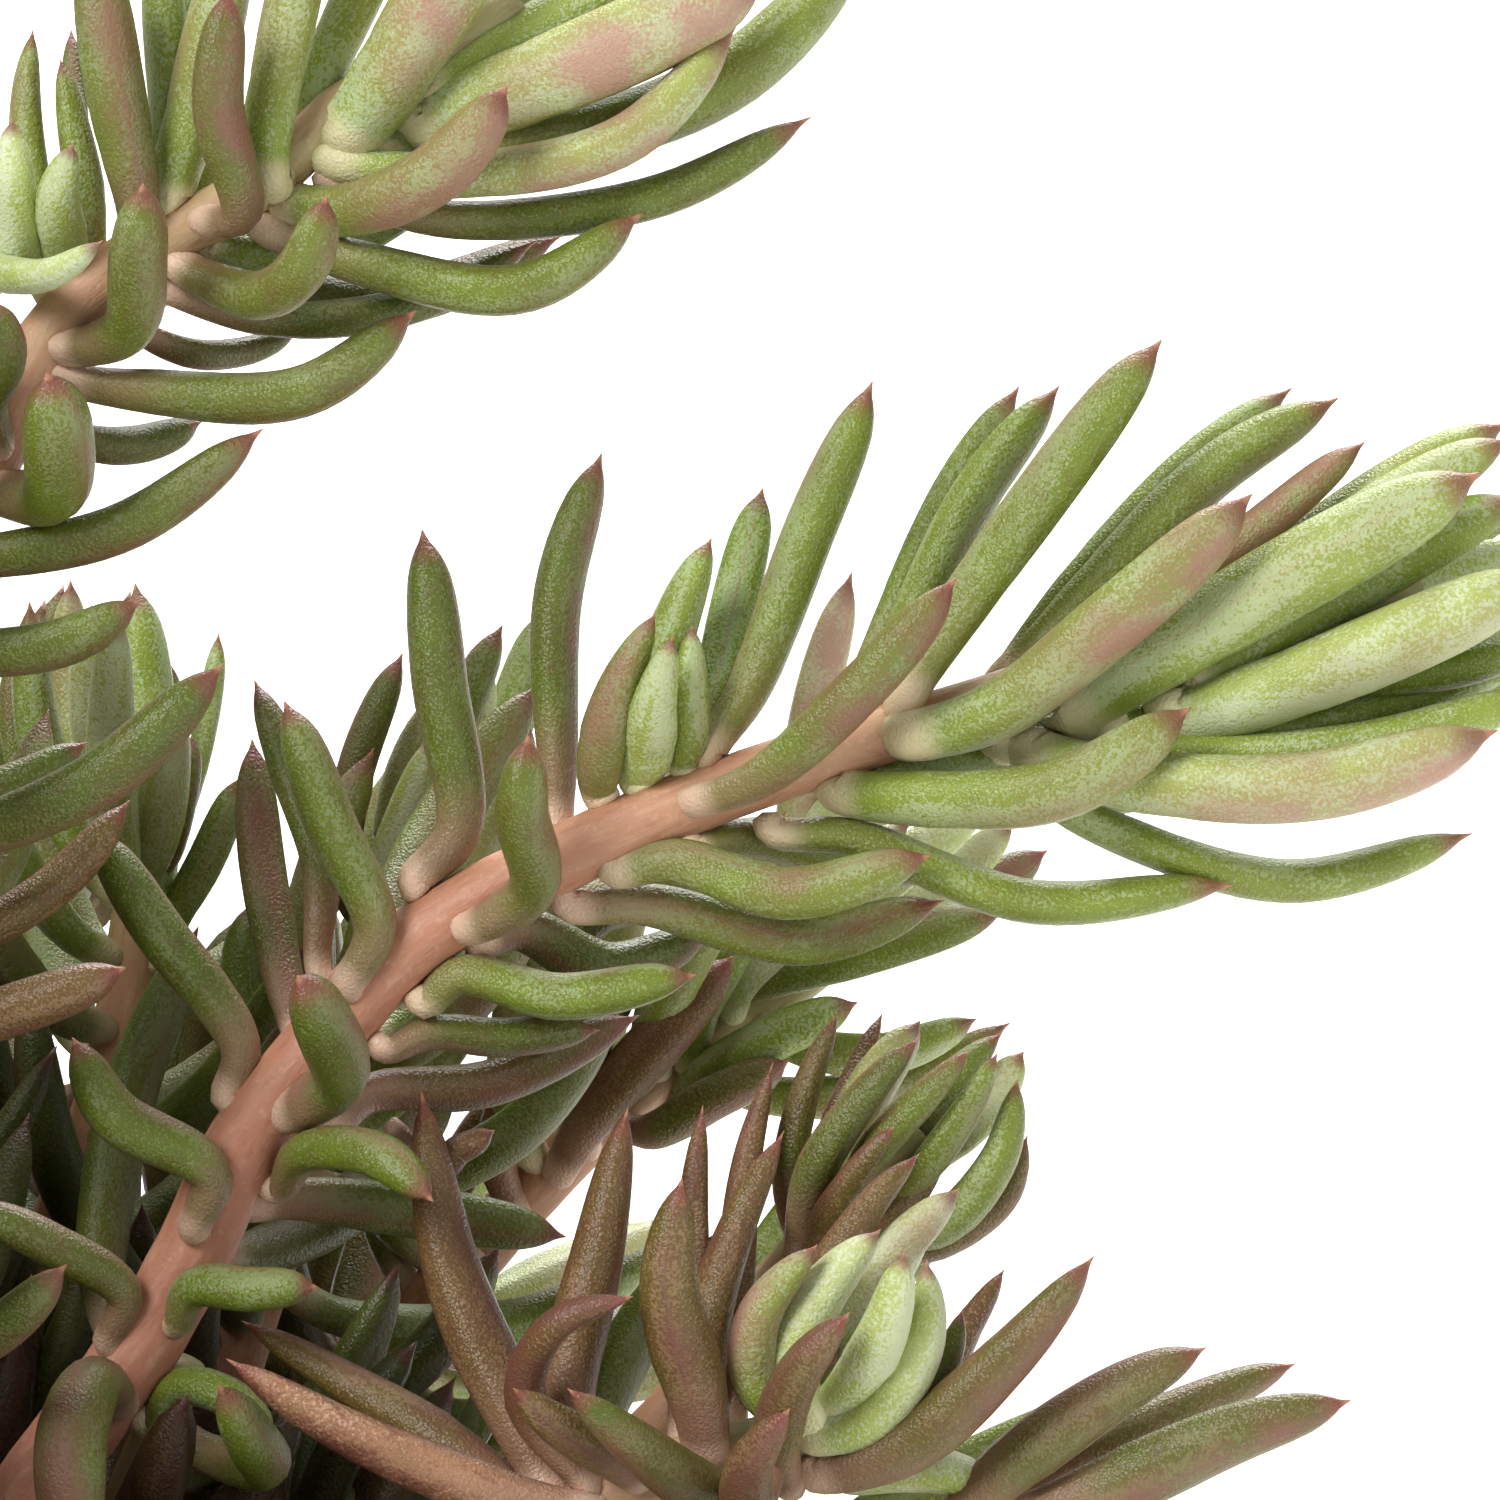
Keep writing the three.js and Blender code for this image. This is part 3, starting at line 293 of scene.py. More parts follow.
        seen=[(660, 1430), (740, 1330), (860, 1190), (920, 1130)],
        leaves=[
            ((800, 1240), (790, 1190), (805, 1100), (838, 1013), 42, 0, 0.72, 0.4),
            ((800, 1260), (815, 1180), (865, 1100), (920, 1037), 52, 2, 0.62, 0.4),
            ((850, 1200), (880, 1150), (945, 1090), (1003, 1032), 55, 0, 0.5, 0.2),
            ((880, 1200), (915, 1175), (964, 1110), (998, 1052), 42, 2, 0.44, 0.2),
            ((880, 1225), (935, 1225), (995, 1160), (1018, 1078), 54, 1, 0.38, 0.2),
            ((850, 1240), (920, 1245), (1000, 1200), (1028, 1134), 44, -1, 0.74, 0.8),
            ((800, 1270), (820, 1230), (860, 1170), (895, 1125), 38, 3, 0.76, 0.5),
        ],
        more=[
            ((820, 1230), (830, 1150), (855, 1080), (883, 1012), 38, -2, 0.9, 0.3),
            ((850, 1210), (870, 1160), (925, 1100), (970, 1050), 46, 2, 0.52, 0.6),
            ((830, 1230), (880, 1220), (925, 1170), (942, 1115), 42, 3, 0.76, 0.4),
        ],
    ),
    dict(
        name="side_shoot", toward=2, taper=0.3,
        rise=[(38, -7, soilTop), (42, -7, 88), (52, -8, 95)],
        seen=[(850, 1555), (950, 1530), (1010, 1510)],
        leaves=[
            ((950, 1530), (1000, 1480), (1110, 1400), (1207, 1347), 72, 2, 0.66, 0.7),
            ((1000, 1510), (1060, 1470), (1190, 1410), (1297, 1363), 60, -2, 0.72, 0.6),
            ((1010, 1520), (1100, 1490), (1240, 1430), (1352, 1400), 72, 2, 0.68, 0.6),
            ((990, 1520), (960, 1480), (900, 1475), (830, 1490), 55, 6, 0.1, 0.1),
        ],
    ),
]

# The other stems: places of the stem in millimetres, from the soil up.
plainStems = [
    dict(name="back_shoot", rise=[(33, 22, soilTop), (38, 21, 92), (50, 20, 108), (62, 21, 117)],
         toward=-24, more=[
            ((520, 1215), (500, 1160), (520, 1080), (585, 975), 55, 3, 0.9, 0.5),
            ((560, 1170), (590, 1120), (660, 1040), (735, 955), 60, 5, 0.85, 0.6),
            ((620, 1120), (650, 1130), (715, 1095), (790, 1060), 50, 4, 0.7, 0.5),
            ((680, 1100), (705, 1075), (775, 1038), (858, 1002), 50, 5, 0.24, 0.0),
            ((690, 1060), (705, 1010), (735, 955), (765, 905), 48, 4, 0.3, 0.0),
            ((700, 1020), (745, 988), (865, 953), (1008, 910), 54, 4, 0.46, 0.2),
            ((820, 950), (860, 930), (960, 903), (1048, 850), 50, -3, 0.6, 1.2),
            ((480, 1260), (450, 1220), (480, 1140), (560, 1060), 55, 3, 0.9, 0.3),
            ((590, 1145), (580, 1090), (610, 1010), (665, 930), 52, 4, 0.75, 0.4),
            ((385, 1412), (350, 1392), (310, 1378), (250, 1342), 48, 2, 0.66, 0.6),
            ((790, 950), (790, 900), (812, 720), (852, 571), 48, -4, 0.14, 1.5),
         ]),
    dict(name="left_back_shoot", rise=[(21, 17, soilTop), (26, 18, 98), (31, 19, 112), (33, 19, 126)],
         toward=-19, more=[
            ((148, 930), (152, 850), (146, 705), (135, 582), 62, 1, 0.22, 0.0),
            ((150, 965), (172, 920), (206, 860), (242, 775), 38, 2, 0.36, 0.2),
            ((160, 850), (185, 800), (205, 720), (219, 632), 30, -2, 0.2, 0.0),
            ((150, 880), (165, 860), (180, 800), (192, 735), 36, 1, 0.5, 0.8),
         ]),
    dict(name="middle_back_shoot", rise=[(31, 7, soilTop), (33, 11, 90), (38, 14, 106), (44, 15, 122)],
         toward=-16, more=[
            ((385, 935), (352, 900), (354, 790), (403, 652), 46, 2, 0.64, 0.7),
            ((405, 900), (402, 850), (450, 740), (503, 624), 50, 2, 0.5, 0.3),
            ((420, 885), (450, 850), (500, 740), (546, 606), 58, -1, 0.34, 0.0),
         ]),
    dict(name="centre_shoot", rise=[(-4, 2, soilTop), (-3, 3, 100), (-6, 6, 130), (-2, 10, 160)]),
    dict(name="rear_shoot_1", rise=[(3, 19, soilTop), (4, 24, 100), (2, 31, 124), (6, 34, 148)]),
    dict(name="rear_shoot_2", rise=[(-9, 36, soilTop), (-11, 42, 94), (-18, 52, 112), (-20, 62, 126)]),
    dict(name="left_shoot_1", rise=[(-20, 12, soilTop), (-24, 14, 100), (-34, 16, 124), (-42, 16, 146)]),
    dict(name="left_shoot_2", rise=[(-22, -12, soilTop), (-27, -16, 96), (-38, -21, 112), (-52, -24, 124)]),
    dict(name="left_shoot_3", rise=[(-37, 1, soilTop), (-43, 1, 92), (-56, 0, 101), (-70, -3, 112)]),
    dict(name="left_shoot_4", rise=[(-30, 27, soilTop), (-36, 31, 94), (-48, 38, 104), (-58, 46, 118)]),
    dict(name="left_shoot_5", rise=[(-34, -21, soilTop), (-40, -26, 92), (-52, -34, 98), (-62, -42, 108)]),
    dict(name="front_shoot_1", rise=[(-3, -20, soilTop), (-5, -24, 96), (-12, -33, 116), (-14, -42, 134)]),
    dict(name="front_shoot_2", rise=[(-17, -35, soilTop), (-19, -41, 91), (-24, -54, 97), (-30, -66, 106)]),
    dict(name="front_shoot_3", rise=[(8, -37, soilTop), (9, -43, 90), (14, -56, 94), (18, -67, 100)]),
    dict(name="front_shoot_4", rise=[(24, -29, soilTop), (27, -35, 88), (36, -45, 94), (46, -54, 96)]),
    dict(name="right_shoot", rise=[(29, 26, soilTop), (33, 30, 88), (41, 37, 94), (49, 43, 96)]),
]


def stemOf(entry):
    root, *above = [np.array(spot, float) for spot in entry["rise"]]
    inSoil = [np.array((root[0], root[1], soilTop + rise))
              for rise in (-soil["stemDepth"], -soil["stemDepth"] / 2, 0, soil["straightRise"])]
    seen = [placeInView(spot, entry["toward"]) for spot in entry.get("seen", [])]
    line = Line([*inSoil, *above, *seen])
    return dict(entry, line=line, length=line.length, grown=[])


def stemThickness(share):
    return stemSize["radius"] + (stemSize["tipRadius"] - stemSize["radius"]) * share * share


# Balls along leaves and stems keep neighbours apart; each is stored in the cells round it.
room = dict(cell=5, ballStep=1.1, leafFrom=0.15, toOthers=0.6, toOwn=-0.5, toPot=0.6, byRim=3, better=0.05)
cells = {}


def ballsOf(line, radius, owner, part, first=0):
    count = math.ceil(line.length / room["ballStep"])
    shares = np.arange(count + 1) / count
    balls = []
    for share, spot in zip(shares, line.at(shares)):
        if share >= first:
            thin = 1.3 - share * 0.9 if part == "leaf" and share > 0.8 else 1  # towards a leaf's tip
            balls.append((spot[0], spot[1], spot[2], radius * thin, owner, share, part))
    return balls


def leafBalls(leaf, stem):
    return ballsOf(leaf["line"], leaf["radius"], stem["name"], "leaf", room["leafFrom"])


def keepBalls(balls):
    for ball in balls:
        x, y, z = (math.floor(v / room["cell"]) for v in ball[:3])
        for dx in (-1, 0, 1):
            for dy in (-1, 0, 1):
                for dz in (-1, 0, 1):
                    cells.setdefault((x + dx, y + dy, z + dz), []).append(ball)


def crowding(balls, enough=math.inf):  # how deep the worst ball lies in a neighbour, the soil or the rim
    deepest = 0
    inside = pot["rimRadius"] - pot["wall"]
    for x, y, z, radius, owner, share, part in balls:
        if deepest > enough:
            break
        outward = math.hypot(x, y)
        if outward < pot["rimRadius"]:
            deepest = max(deepest, soilTop + soil["rise"] + room["toPot"] + radius - z)
        if inside - room["byRim"] < outward < pot["rimRadius"] + room["byRim"]:
            deepest = max(deepest, pot["height"] + room["toPot"] + radius - z)
        cell = tuple(math.floor(v / room["cell"]) for v in (x, y, z))
        for ox, oy, oz, otherRadius, otherOwner, otherShare, otherPart in cells.get(cell, ()):
            own = otherOwner == owner
            if own and (otherPart == "stem" or share < 0.5 or otherShare < 0.5):
                continue
            apart = math.sqrt((x - ox) ** 2 + (y - oy) ** 2 + (z - oz) ** 2)
            clear = room["toOwn"] if own else room["toOthers"]
            deepest = max(deepest, radius + otherRadius + clear - apart)
    return deepest


def makeLeaf(places, radius, **look):
    _, foot, elbow, _, tip = places
    sideways = np.cross(elbow - foot, tip - elbow)
    if np.linalg.norm(sideways) < 0.5:
        sideways = squareTo(unit(tip - foot))
    return dict(places=places, radius=radius, line=Line(places), sideways=unit(sideways), **look)


# How far each place of a measured leaf stands out, and how wide its foot is: wider on green leaves.
standOut = dict(foot=0, elbow=0.3, belly=0.75, tip=1)
footWidth = dict(base=0.2, green=0.32, tones=(0.3, 0.52))


def measuredLeaf(stem, entry, push):
    foot, elbow, belly, tip, wide, out, tone, blush, *ownTaper = entry
    flat = placeInView(foot, stem["toward"])
    shares = np.arange(201) / 200
    share = shares[np.argmin(np.linalg.norm(stem["line"].at(shares) - flat, axis=1))]
    axis = stem["line"].at(share)
    thick = stemThickness(share)
    beside = np.linalg.norm(axis - flat)
    lift = 0
    if beside < thick:
        lift = math.sqrt(thick * thick - beside * beside) * (1 if out > 0 else -1)
    depth = (axis - viewCentre) @ viewNear
    places = [axis] + [placeInView(spot, depth + lift + (out + push) * part)
                       for spot, part in zip((foot, elbow, belly, tip), standOut.values())]
    green = 1 - smoothStep(tone, *footWidth["tones"])
    return makeLeaf(places, wide / view["perMm"] / 2, close=True, tone=tone, blush=blush, dull=0,
                    base=footWidth["base"] + footWidth["green"] * green,
                    taper=ownTaper[0] if ownTaper else stem.get("taper", 0))


# How the leaves placed by the rule vary. Opening in degrees and tone: usual, when old, when young, spread.
# The shade keys set painted shade for leaves low and deep in the clump.
leafRule = dict(stray=0.4, betweenTurn=1.6, youngZone=14, oldZone=(4, 30), opening=(52, 14, -38, 14),
                tone=(0.45, 0.4, -0.4, 0.3), brownest=0.9, base=0.25, taper=0.2,
                shadeHeight=(24, 56), shadeRadius=(38, 56), outerLight=0.85)


def varied(rule, old, young, chance):
    usual, whenOld, whenYoung, spread = rule
    return usual + whenOld * old + whenYoung * young + spread * (chance - 0.5)


def ruledLeaf(stem, index, along, between, turn, opening, size):
    share = along / stem["length"]
    axis = stem["line"].at(share)
    forward = stem["line"].heading(share)
    first = squareTo(forward)
    second = np.cross(forward, first)
    stray = (draw(index + stem["length"]) - 0.5) * leafRule["stray"]
    turn += index * leafSize["turn"] + stray + between * leafRule["betweenTurn"]
    outward = first * math.cos(turn) + second * math.sin(turn)
    young = smoothStep(along, stem["length"] - leafRule["youngZone"], stem["length"])
    old = 1 - smoothStep(along, *(soil["stemDepth"] + end for end in leafRule["oldZone"]))
    key = index + between * 31
    openDraw, longDraw, thickDraw, toneDraw, blushDraw = (
        draw(key * step + shift) for step, shift in ((3, 1), (7, 2), (5, 3), (11, 4), (13, 5)))
    opening += math.radians(varied(leafRule["opening"], old, young, openDraw))
    reach = leafSize["length"] * (1 - 0.35 * young - 0.15 * old) * (0.9 + 0.2 * longDraw) * size

    def step(start, amount, angle):
        return start + outward * amount * math.sin(angle) + forward * amount * math.cos(angle)

    foot = axis + outward * stemThickness(share) * 0.9
    elbow = step(foot, reach * 0.16, opening + 0.45)
    belly = step(elbow, reach * 0.45, opening)
    tip = step(belly, reach * 0.42, opening - 0.35) + np.array((0, 0, reach * 0.05))
    radius = leafSize["radius"] * (0.92 + 0.16 * thickDraw) * (1 - 0.2 * young)
    tone = varied(leafRule["tone"], old, young, toneDraw) + stem.get("shade", 0)
    # painted shade: leaves low in the clump and near its middle get darker colour in place of the shade that
    # falls there
    low = 1 - smoothStep(belly[2], *(soilTop + end for end in leafRule["shadeHeight"]))
    outer = smoothStep(math.hypot(belly[0], belly[1]), *leafRule["shadeRadius"])
    close = bool(stem.get("leaves") or stem.get("more"))
    leaf = makeLeaf([axis, foot, elbow, belly, tip], radius, close=close, blush=blushDraw ** 2,
                    tone=min(tone, leafRule["brownest"]), dull=low * (1 - leafRule["outerLight"] * outer),
                    base=leafRule["base"], taper=leafRule["taper"])
    return leaf, outward


# What is tried until a leaf finds room: pushes in depth, or another turn, opening and size.
pushes = (0, -1.2, 1.2, -2.4, 2.4, -3.8, 3.8, -5.5, 5.5)
turnings = ((0, 0), (0.3, 0), (-0.3, 0), (0, -0.3), (0, 0.3), (0.6, -0.15), (-0.6, -0.15), (0, -0.5))
tweaks = [(turn, opening, size) for size in (1, 0.85, 0.7, 0.55) for turn, opening in turnings]

# Short shoots that fill the clump; those before the corner or right of the line stay below the close-up.
filler = dict(count=60, turn=2.39996, spread=37, apart=5.5, least=28, low=(14, 19), tall=(22, 42),
              lean=0.35, shade=0.28, corner=(12, -8), line=33)


def fillerStems(taken):
    found = []
    for number in range(filler["count"]):
        angle = number * filler["turn"]
        distance = filler["spread"] * math.sqrt((number + 0.5) / filler["count"])
        root = np.array((distance * math.cos(angle), distance * math.sin(angle)))
        if min(np.linalg.norm(root - other) for other in taken) < filler["apart"]:
            continue
        right, back = filler["corner"]
        inSight = (root[0] > right and root[1] < back) or root[0] > filler["line"]
        low, high = filler["low"] if inSight else filler["tall"]
        height = low + (high - low) * draw(number * 17 + 6)
        top = root * (1 + filler["lean"] * height / filler["spread"])
        rise = [(*root, soilTop), (*(root * 0.8 + top * 0.2), soilTop + height * 0.4),
                (*(root * 0.35 + top * 0.65), soilTop + height * 0.75), (*top, soilTop + height)]
        found.append(dict(name=f"short_shoot_{len(found) + 1}", shade=filler["shade"], rise=rise,
                          loose=inSight or height < filler["least"]))
    return found


roots = [np.array(entry["rise"][0][:2], float) for entry in measuredStems + plainStems]
stems = [stemOf(entry) for entry in measuredStems + plainStems + fillerStems(roots)]
for stem in stems:
    keepBalls(ballsOf(stem["line"], stemSize["radius"], stem["name"], "stem"))


def growMeasured(stem, entries):
    for entry in entries:
        best = None
        for push in pushes:
            leaf = measuredLeaf(stem, entry, push)
            balls = leafBalls(leaf, stem)
            depth = crowding(balls)
            if best is None or depth < best[0] - room["better"]:
                best = (depth, leaf, balls)
            if depth <= 0:
                break
        keepBalls(best[2])
        stem["grown"].append(best[1])


# Bare ends of a stem, where its leaves stand denser, and which way a measured stem's hidden leaves face.
growth = dict(bareFoot=5, bareTip=0.6, betweenTip=0.4, denseTip=12, denser=0.5, faces=-0.4)


def growRuled(stem, between):  # between 0 gives the CAD's own leaves, 1 and 2 the ones in between
    index = 0
    along = soil["stemDepth"] + growth["bareFoot"]
    tries = tweaks if between else tweaks[:-len(turnings)]
    while along < stem["length"] - growth["bareTip"]:
        atTip = stem["length"] - along <= growth["denseTip"]
        spacing = leafSize["spacing"] * (growth["denser"] if atTip else 1)
        place = along + spacing * between / 3
        fits = place < stem["length"] - growth["betweenTip"]
        for tweak in tries if fits else ():
            leaf, outward = ruledLeaf(stem, index, place, between, *tweak)
            shown = stem.get("leaves") and any(map(isInView, leaf["places"][1:])) and (
                between or outward @ viewNear > growth["faces"])
            balls = leafBalls(leaf, stem)
            if not shown and not coversGap(balls) and crowding(balls, 0) <= 0:
                keepBalls(balls)
                stem["grown"].append(leaf)
                break
        index += 1
        along += spacing


for stem in stems:
    growMeasured(stem, stem.get("leaves", []))
for stem in stems:
    growRuled(stem, 0)
for stem in stems:
    growMeasured(stem, stem.get("more", []))
for between in (1, 2):
    for stem in stems:
        growRuled(stem, between)
print("leaves placed:", sum(len(stem["grown"]) for stem in stems))


def plug(tree, socket, value):
    if isinstance(value, Wire):
        tree.links.new(value.socket, socket)
    else:
        socket.default_value = value


def addNode(tree, kind, settings, inputs, output=0):  # settings and stops first, then values or links
    node = tree.nodes.new(kind)
    for key, value in settings.items():
        if key == "stops":
            stops = node.color_ramp.elements
            for number, (place, *tint) in enumerate(value):
                stop = stops[number] if number < 2 else stops.new(place)
                stop.position = place
                stop.color = colour(*tint)
        else:
            setattr(node, key, value)
    for key, value in inputs.items():
        plug(tree, node.inputs[key], value)
    return Wire(tree, node.outputs[output])


class Wire:  # a socket, wrapped so that shader maths reads as maths
    def __init__(self, tree, socket):
        self.tree = tree
        self.socket = socket

    def maths(self, operation, *values, clamp=False):
        return addNode(self.tree, "ShaderNodeMath", dict(operation=operation, use_clamp=clamp),
                       dict(enumerate(values)))

    def __add__(self, other):
        return self.maths("ADD", self, other)

    def __radd__(self, other):
        return self.maths("ADD", other, self)

    def __sub__(self, other):
        return self.maths("SUBTRACT", self, other)

    def __rsub__(self, other):
        return self.maths("SUBTRACT", other, self)

    def __mul__(self, other):
        return self.maths("MULTIPLY", self, other)

    def __rmul__(self, other):
        return self.maths("MULTIPLY", other, self)

    def clamped(self):
        return self.maths("ADD", self, 0.0, clamp=True)

    def ramp(self, low, high, falling=False):  # 0 below low, 1 above high, smooth between, or falling
        return addNode(self.tree, "ShaderNodeMapRange", dict(interpolation_type="SMOOTHSTEP"), {
            "Value": self, "From Min": low, "From Max": high,
            "To Min": float(falling), "To Max": float(not falling)}, "Result")


def colour(red, green, blue):  # screen colour, 0 to 255, to scene colour
    return tuple((v / 255 / 12.92) if v / 255 <= 0.04045 else ((v / 255 + 0.055) / 1.055) ** 2.4
                 for v in (red, green, blue)) + (1.0,)


class Paint:  # one material and its nodes
    def __init__(self, name):
        self.material = bpy.data.materials.new(name)
        self.material.use_nodes = True
        self.tree = self.material.node_tree
        self.shader = self.tree.nodes["Principled BSDF"]
        self.places = self.node("ShaderNodeTexCoord", output="Object")

    def node(self, kind, settings=None, inputs=None, output=0):
        return addNode(self.tree, kind, settings or {}, inputs or {}, output)

    def noise(self, scale, detail=3.0, rough=0.5, where=None):
        return self.node("ShaderNodeTexNoise", inputs={
            "Vector": where or self.places, "Scale": scale, "Detail": detail, "Roughness": rough})

    def stretched(self, scale, where):
        return self.node("ShaderNodeMapping", inputs={"Vector": where, "Scale": scale})

    def value(self, name, output="Fac"):
        return self.node("ShaderNodeAttribute", {"attribute_name": name}, output=output)

    def blend(self, share, first, second, kind="MIX"):
        return self.node("ShaderNodeMix", dict(data_type="RGBA", blend_type=kind),
                         {0: share, 6: first, 7: second}, 2)

    def steps(self, share, stops):
        return self.node("ShaderNodeValToRGB", dict(stops=stops), {0: share})

    def finish(self, base, roughness, height=None, strength=0.3, distance=0.0003, specular=0.5):
        plug(self.tree, self.shader.inputs["Base Color"], base)
        plug(self.tree, self.shader.inputs["Roughness"], roughness)
        plug(self.tree, self.shader.inputs["Specular IOR Level"], specular)
        if height is not None:
            bump = self.node("ShaderNodeBump", inputs={
                "Height": height, "Strength": strength, "Distance": distance}, output="Normal")
            plug(self.tree, self.shader.inputs["Normal"], bump)
        return self.material


# Leaf colours by age or tone: the place on the way from young to old, then red, green and blue.
leafLook = dict(
    waxy=[(0.0, 214, 222, 188), (0.12, 186, 197, 154), (0.25, 162, 178, 126), (0.42, 134, 148, 94),
          (0.62, 104, 112, 64), (0.8, 136, 110, 76), (0.91, 132, 102, 74), (1.0, 208, 174, 142)],
    bare=[(0.0, 204, 214, 158), (0.12, 162, 176, 88), (0.25, 130, 148, 52), (0.42, 104, 122, 32),
          (0.62, 76, 90, 20), (0.8, 98, 80, 36), (0.91, 96, 68, 38), (1.0, 184, 138, 102)],
    # pale to gold specks on the papillae: partly their own colour, partly painted glints
    glintSpecks=[(0.0, 222, 228, 190), (0.4, 170, 188, 96), (0.65, 140, 154, 76), (0.85, 178, 152, 92),
            (1.0, 214, 182, 150)],
    ruddy=[(0.0, 196, 158, 140), (0.3, 160, 118, 100), (0.5, 132, 94, 72), (0.8, 112, 74, 60),
           (1.0, 100, 58, 48)],
    scabs=[(0.0, 176, 186, 116), (0.4, 104, 96, 44), (0.7, 84, 62, 34), (1.0, 120, 66, 40)],
    foot=[(0.0, 226, 224, 178), (0.3, 220, 206, 166), (0.5, 220, 186, 162)],
    nearFoot=(148, 110, 92), tip=(124, 68, 58), point=(190, 134, 104), shade=(98, 84, 62),
    grain=6400, dots=7600, roughness=0.48, specular=0.4, relief=0.5, depth=0.00013)


def leafPaint():
    paint = Paint("leaf")
    along = paint.value("along")
    tone = paint.value("tone")      # 0 youngest and palest, 1 old and brown
    blush = paint.value("blush")
    crest = paint.value("crest")    # 1 along the middle of either side, 0 along both edges
    dull = paint.value("dull")      # painted shade: 1 for leaves low inside the clump, where the leaves above shade them
    spot = paint.value("spot", "Vector")
    streak = paint.noise(1.0, 3, 0.6, where=paint.stretched((0.9, 0.2, 0.9), spot))
    patch = paint.noise(0.42, 1, where=spot)
    grain = paint.noise(leafLook["grain"], 1, 0.6)
    age = (tone + (patch - 0.5) * 0.2).clamped()
    rubbed = ((1 - crest) * 0.16 + streak * 0.85 + (grain - 0.5) * 0.75 + tone * 0.14).ramp(0.5, 0.61)
    body = paint.blend(rubbed, paint.steps(age, leafLook["waxy"]), paint.steps(age, leafLook["bare"]))
    # dots at the papillae, partly the leaf's own speckle and partly painted glints of light
    dots = paint.node("ShaderNodeTexVoronoi", inputs={"Vector": paint.places, "Scale": leafLook["dots"]},
                      output="Distance")
    glintSpecks = dots.ramp(0.16, 0.5, falling=True) * grain.ramp(0.36, 0.62) * (0.26 + tone * 0.42)
    glintSpeckled = paint.blend(glintSpecks, body, paint.steps(tone, leafLook["glintSpecks"]))
    mottled = ((patch - 0.5) * 1.8 + (grain - 0.5) * 1.3 + 0.62).clamped()
    ruddy = paint.steps(tone, leafLook["ruddy"])
    scab = paint.noise(1.5, 3, 0.7, where=paint.stretched((1.0, 0.6, 1.0), spot))
    scabbed = paint.blend(scab.ramp(0.56, 0.68) * (tone.ramp(0.05, 0.8) * 0.45 + 0.12), glintSpeckled,
                          paint.steps(tone, leafLook["scabs"]))
    flush = blush * along.ramp(0.08, 0.6) * (crest.ramp(0.0, 0.6) * 0.5 + 0.5) * mottled
    flushed = paint.blend(flush.clamped() * 0.92, scabbed, ruddy)
    ridge = crest.ramp(0.3, 0.95) * tone.ramp(0.36, 0.6) * mottled
    edge = crest.ramp(0.86, 1.0) * tone.ramp(0.1, 0.4)
    edged = paint.blend((ridge * 0.75 + edge * 0.4).clamped(), flushed, ruddy)
    low = (1 - along.ramp(0.17, 0.42)) * tone.ramp(0.3, 0.6)
    lowered = paint.blend(low * 0.65, edged, colour(*leafLook["nearFoot"]))
    foot = 1 - along.ramp(0.05, 0.14)
    footed = paint.blend(foot * 0.82, lowered, paint.steps(tone, leafLook["foot"]))
    tipped = paint.blend(along.ramp(0.885, 0.965) * 0.85, footed, colour(*leafLook["tip"]))
    pointed = paint.blend(along.ramp(0.965, 0.985) * 0.6, tipped, colour(*leafLook["point"]))
    # painted shade: colour of leaves low inside the clump multiplied towards the shade colour
    clumpShaded = paint.blend(dull * 0.8, pointed, colour(*leafLook["shade"]), "MULTIPLY")
    return paint.finish(clumpShaded, leafLook["roughness"] - rubbed * 0.1, grain * 0.7 - dots * 0.5,
                        leafLook["relief"], leafLook["depth"], leafLook["specular"])


# Bark colours from the foot of the stem to its tip.
stemLook = dict(
    skin=[(0.0, 118, 84, 66), (0.2, 190, 130, 107), (0.5, 180, 120, 94), (0.8, 180, 136, 104),
          (1.0, 168, 168, 116)],
    scuff=(206, 164, 136), scar=(136, 82, 62), grain=(214, 178, 150),
    roughness=0.52, relief=0.5, depth=0.00018)


def stemPaint():
    paint = Paint("stem skin")
    along = paint.value("along")
    spot = paint.value("spot", "Vector")
    streak = paint.noise(1.0, 5, 0.65, where=paint.stretched((1.6, 0.5, 1.6), spot))
    patch = paint.noise(0.25, 3, where=spot)
    fine = paint.noise(2400, 3, 0.6)
    skin = paint.steps((along + (patch - 0.5) * 0.3).clamped(), stemLook["skin"])
    scuffed = paint.blend(streak.ramp(0.5, 0.72) * 0.45, skin, colour(*stemLook["scuff"]))
    worn = paint.blend(streak.ramp(0.3, 0.46, falling=True) * 0.4, scuffed, colour(*stemLook["scar"]))
    grained = paint.blend(fine.ramp(0.55, 0.75) * 0.3, worn, colour(*stemLook["grain"]))
    return paint.finish(grained, stemLook["roughness"] + (patch - 0.5) * 0.2, streak + fine * 0.4,
                        stemLook["relief"], stemLook["depth"])


clayLook = dict(tints=[(0.3, 160, 94, 68), (0.55, 178, 110, 80), (0.75, 190, 124, 94)], salt=(222, 190, 168),
                grit=(150, 78, 50), saltTop=0.05, roughness=0.85, relief=0.25, depth=0.0002)


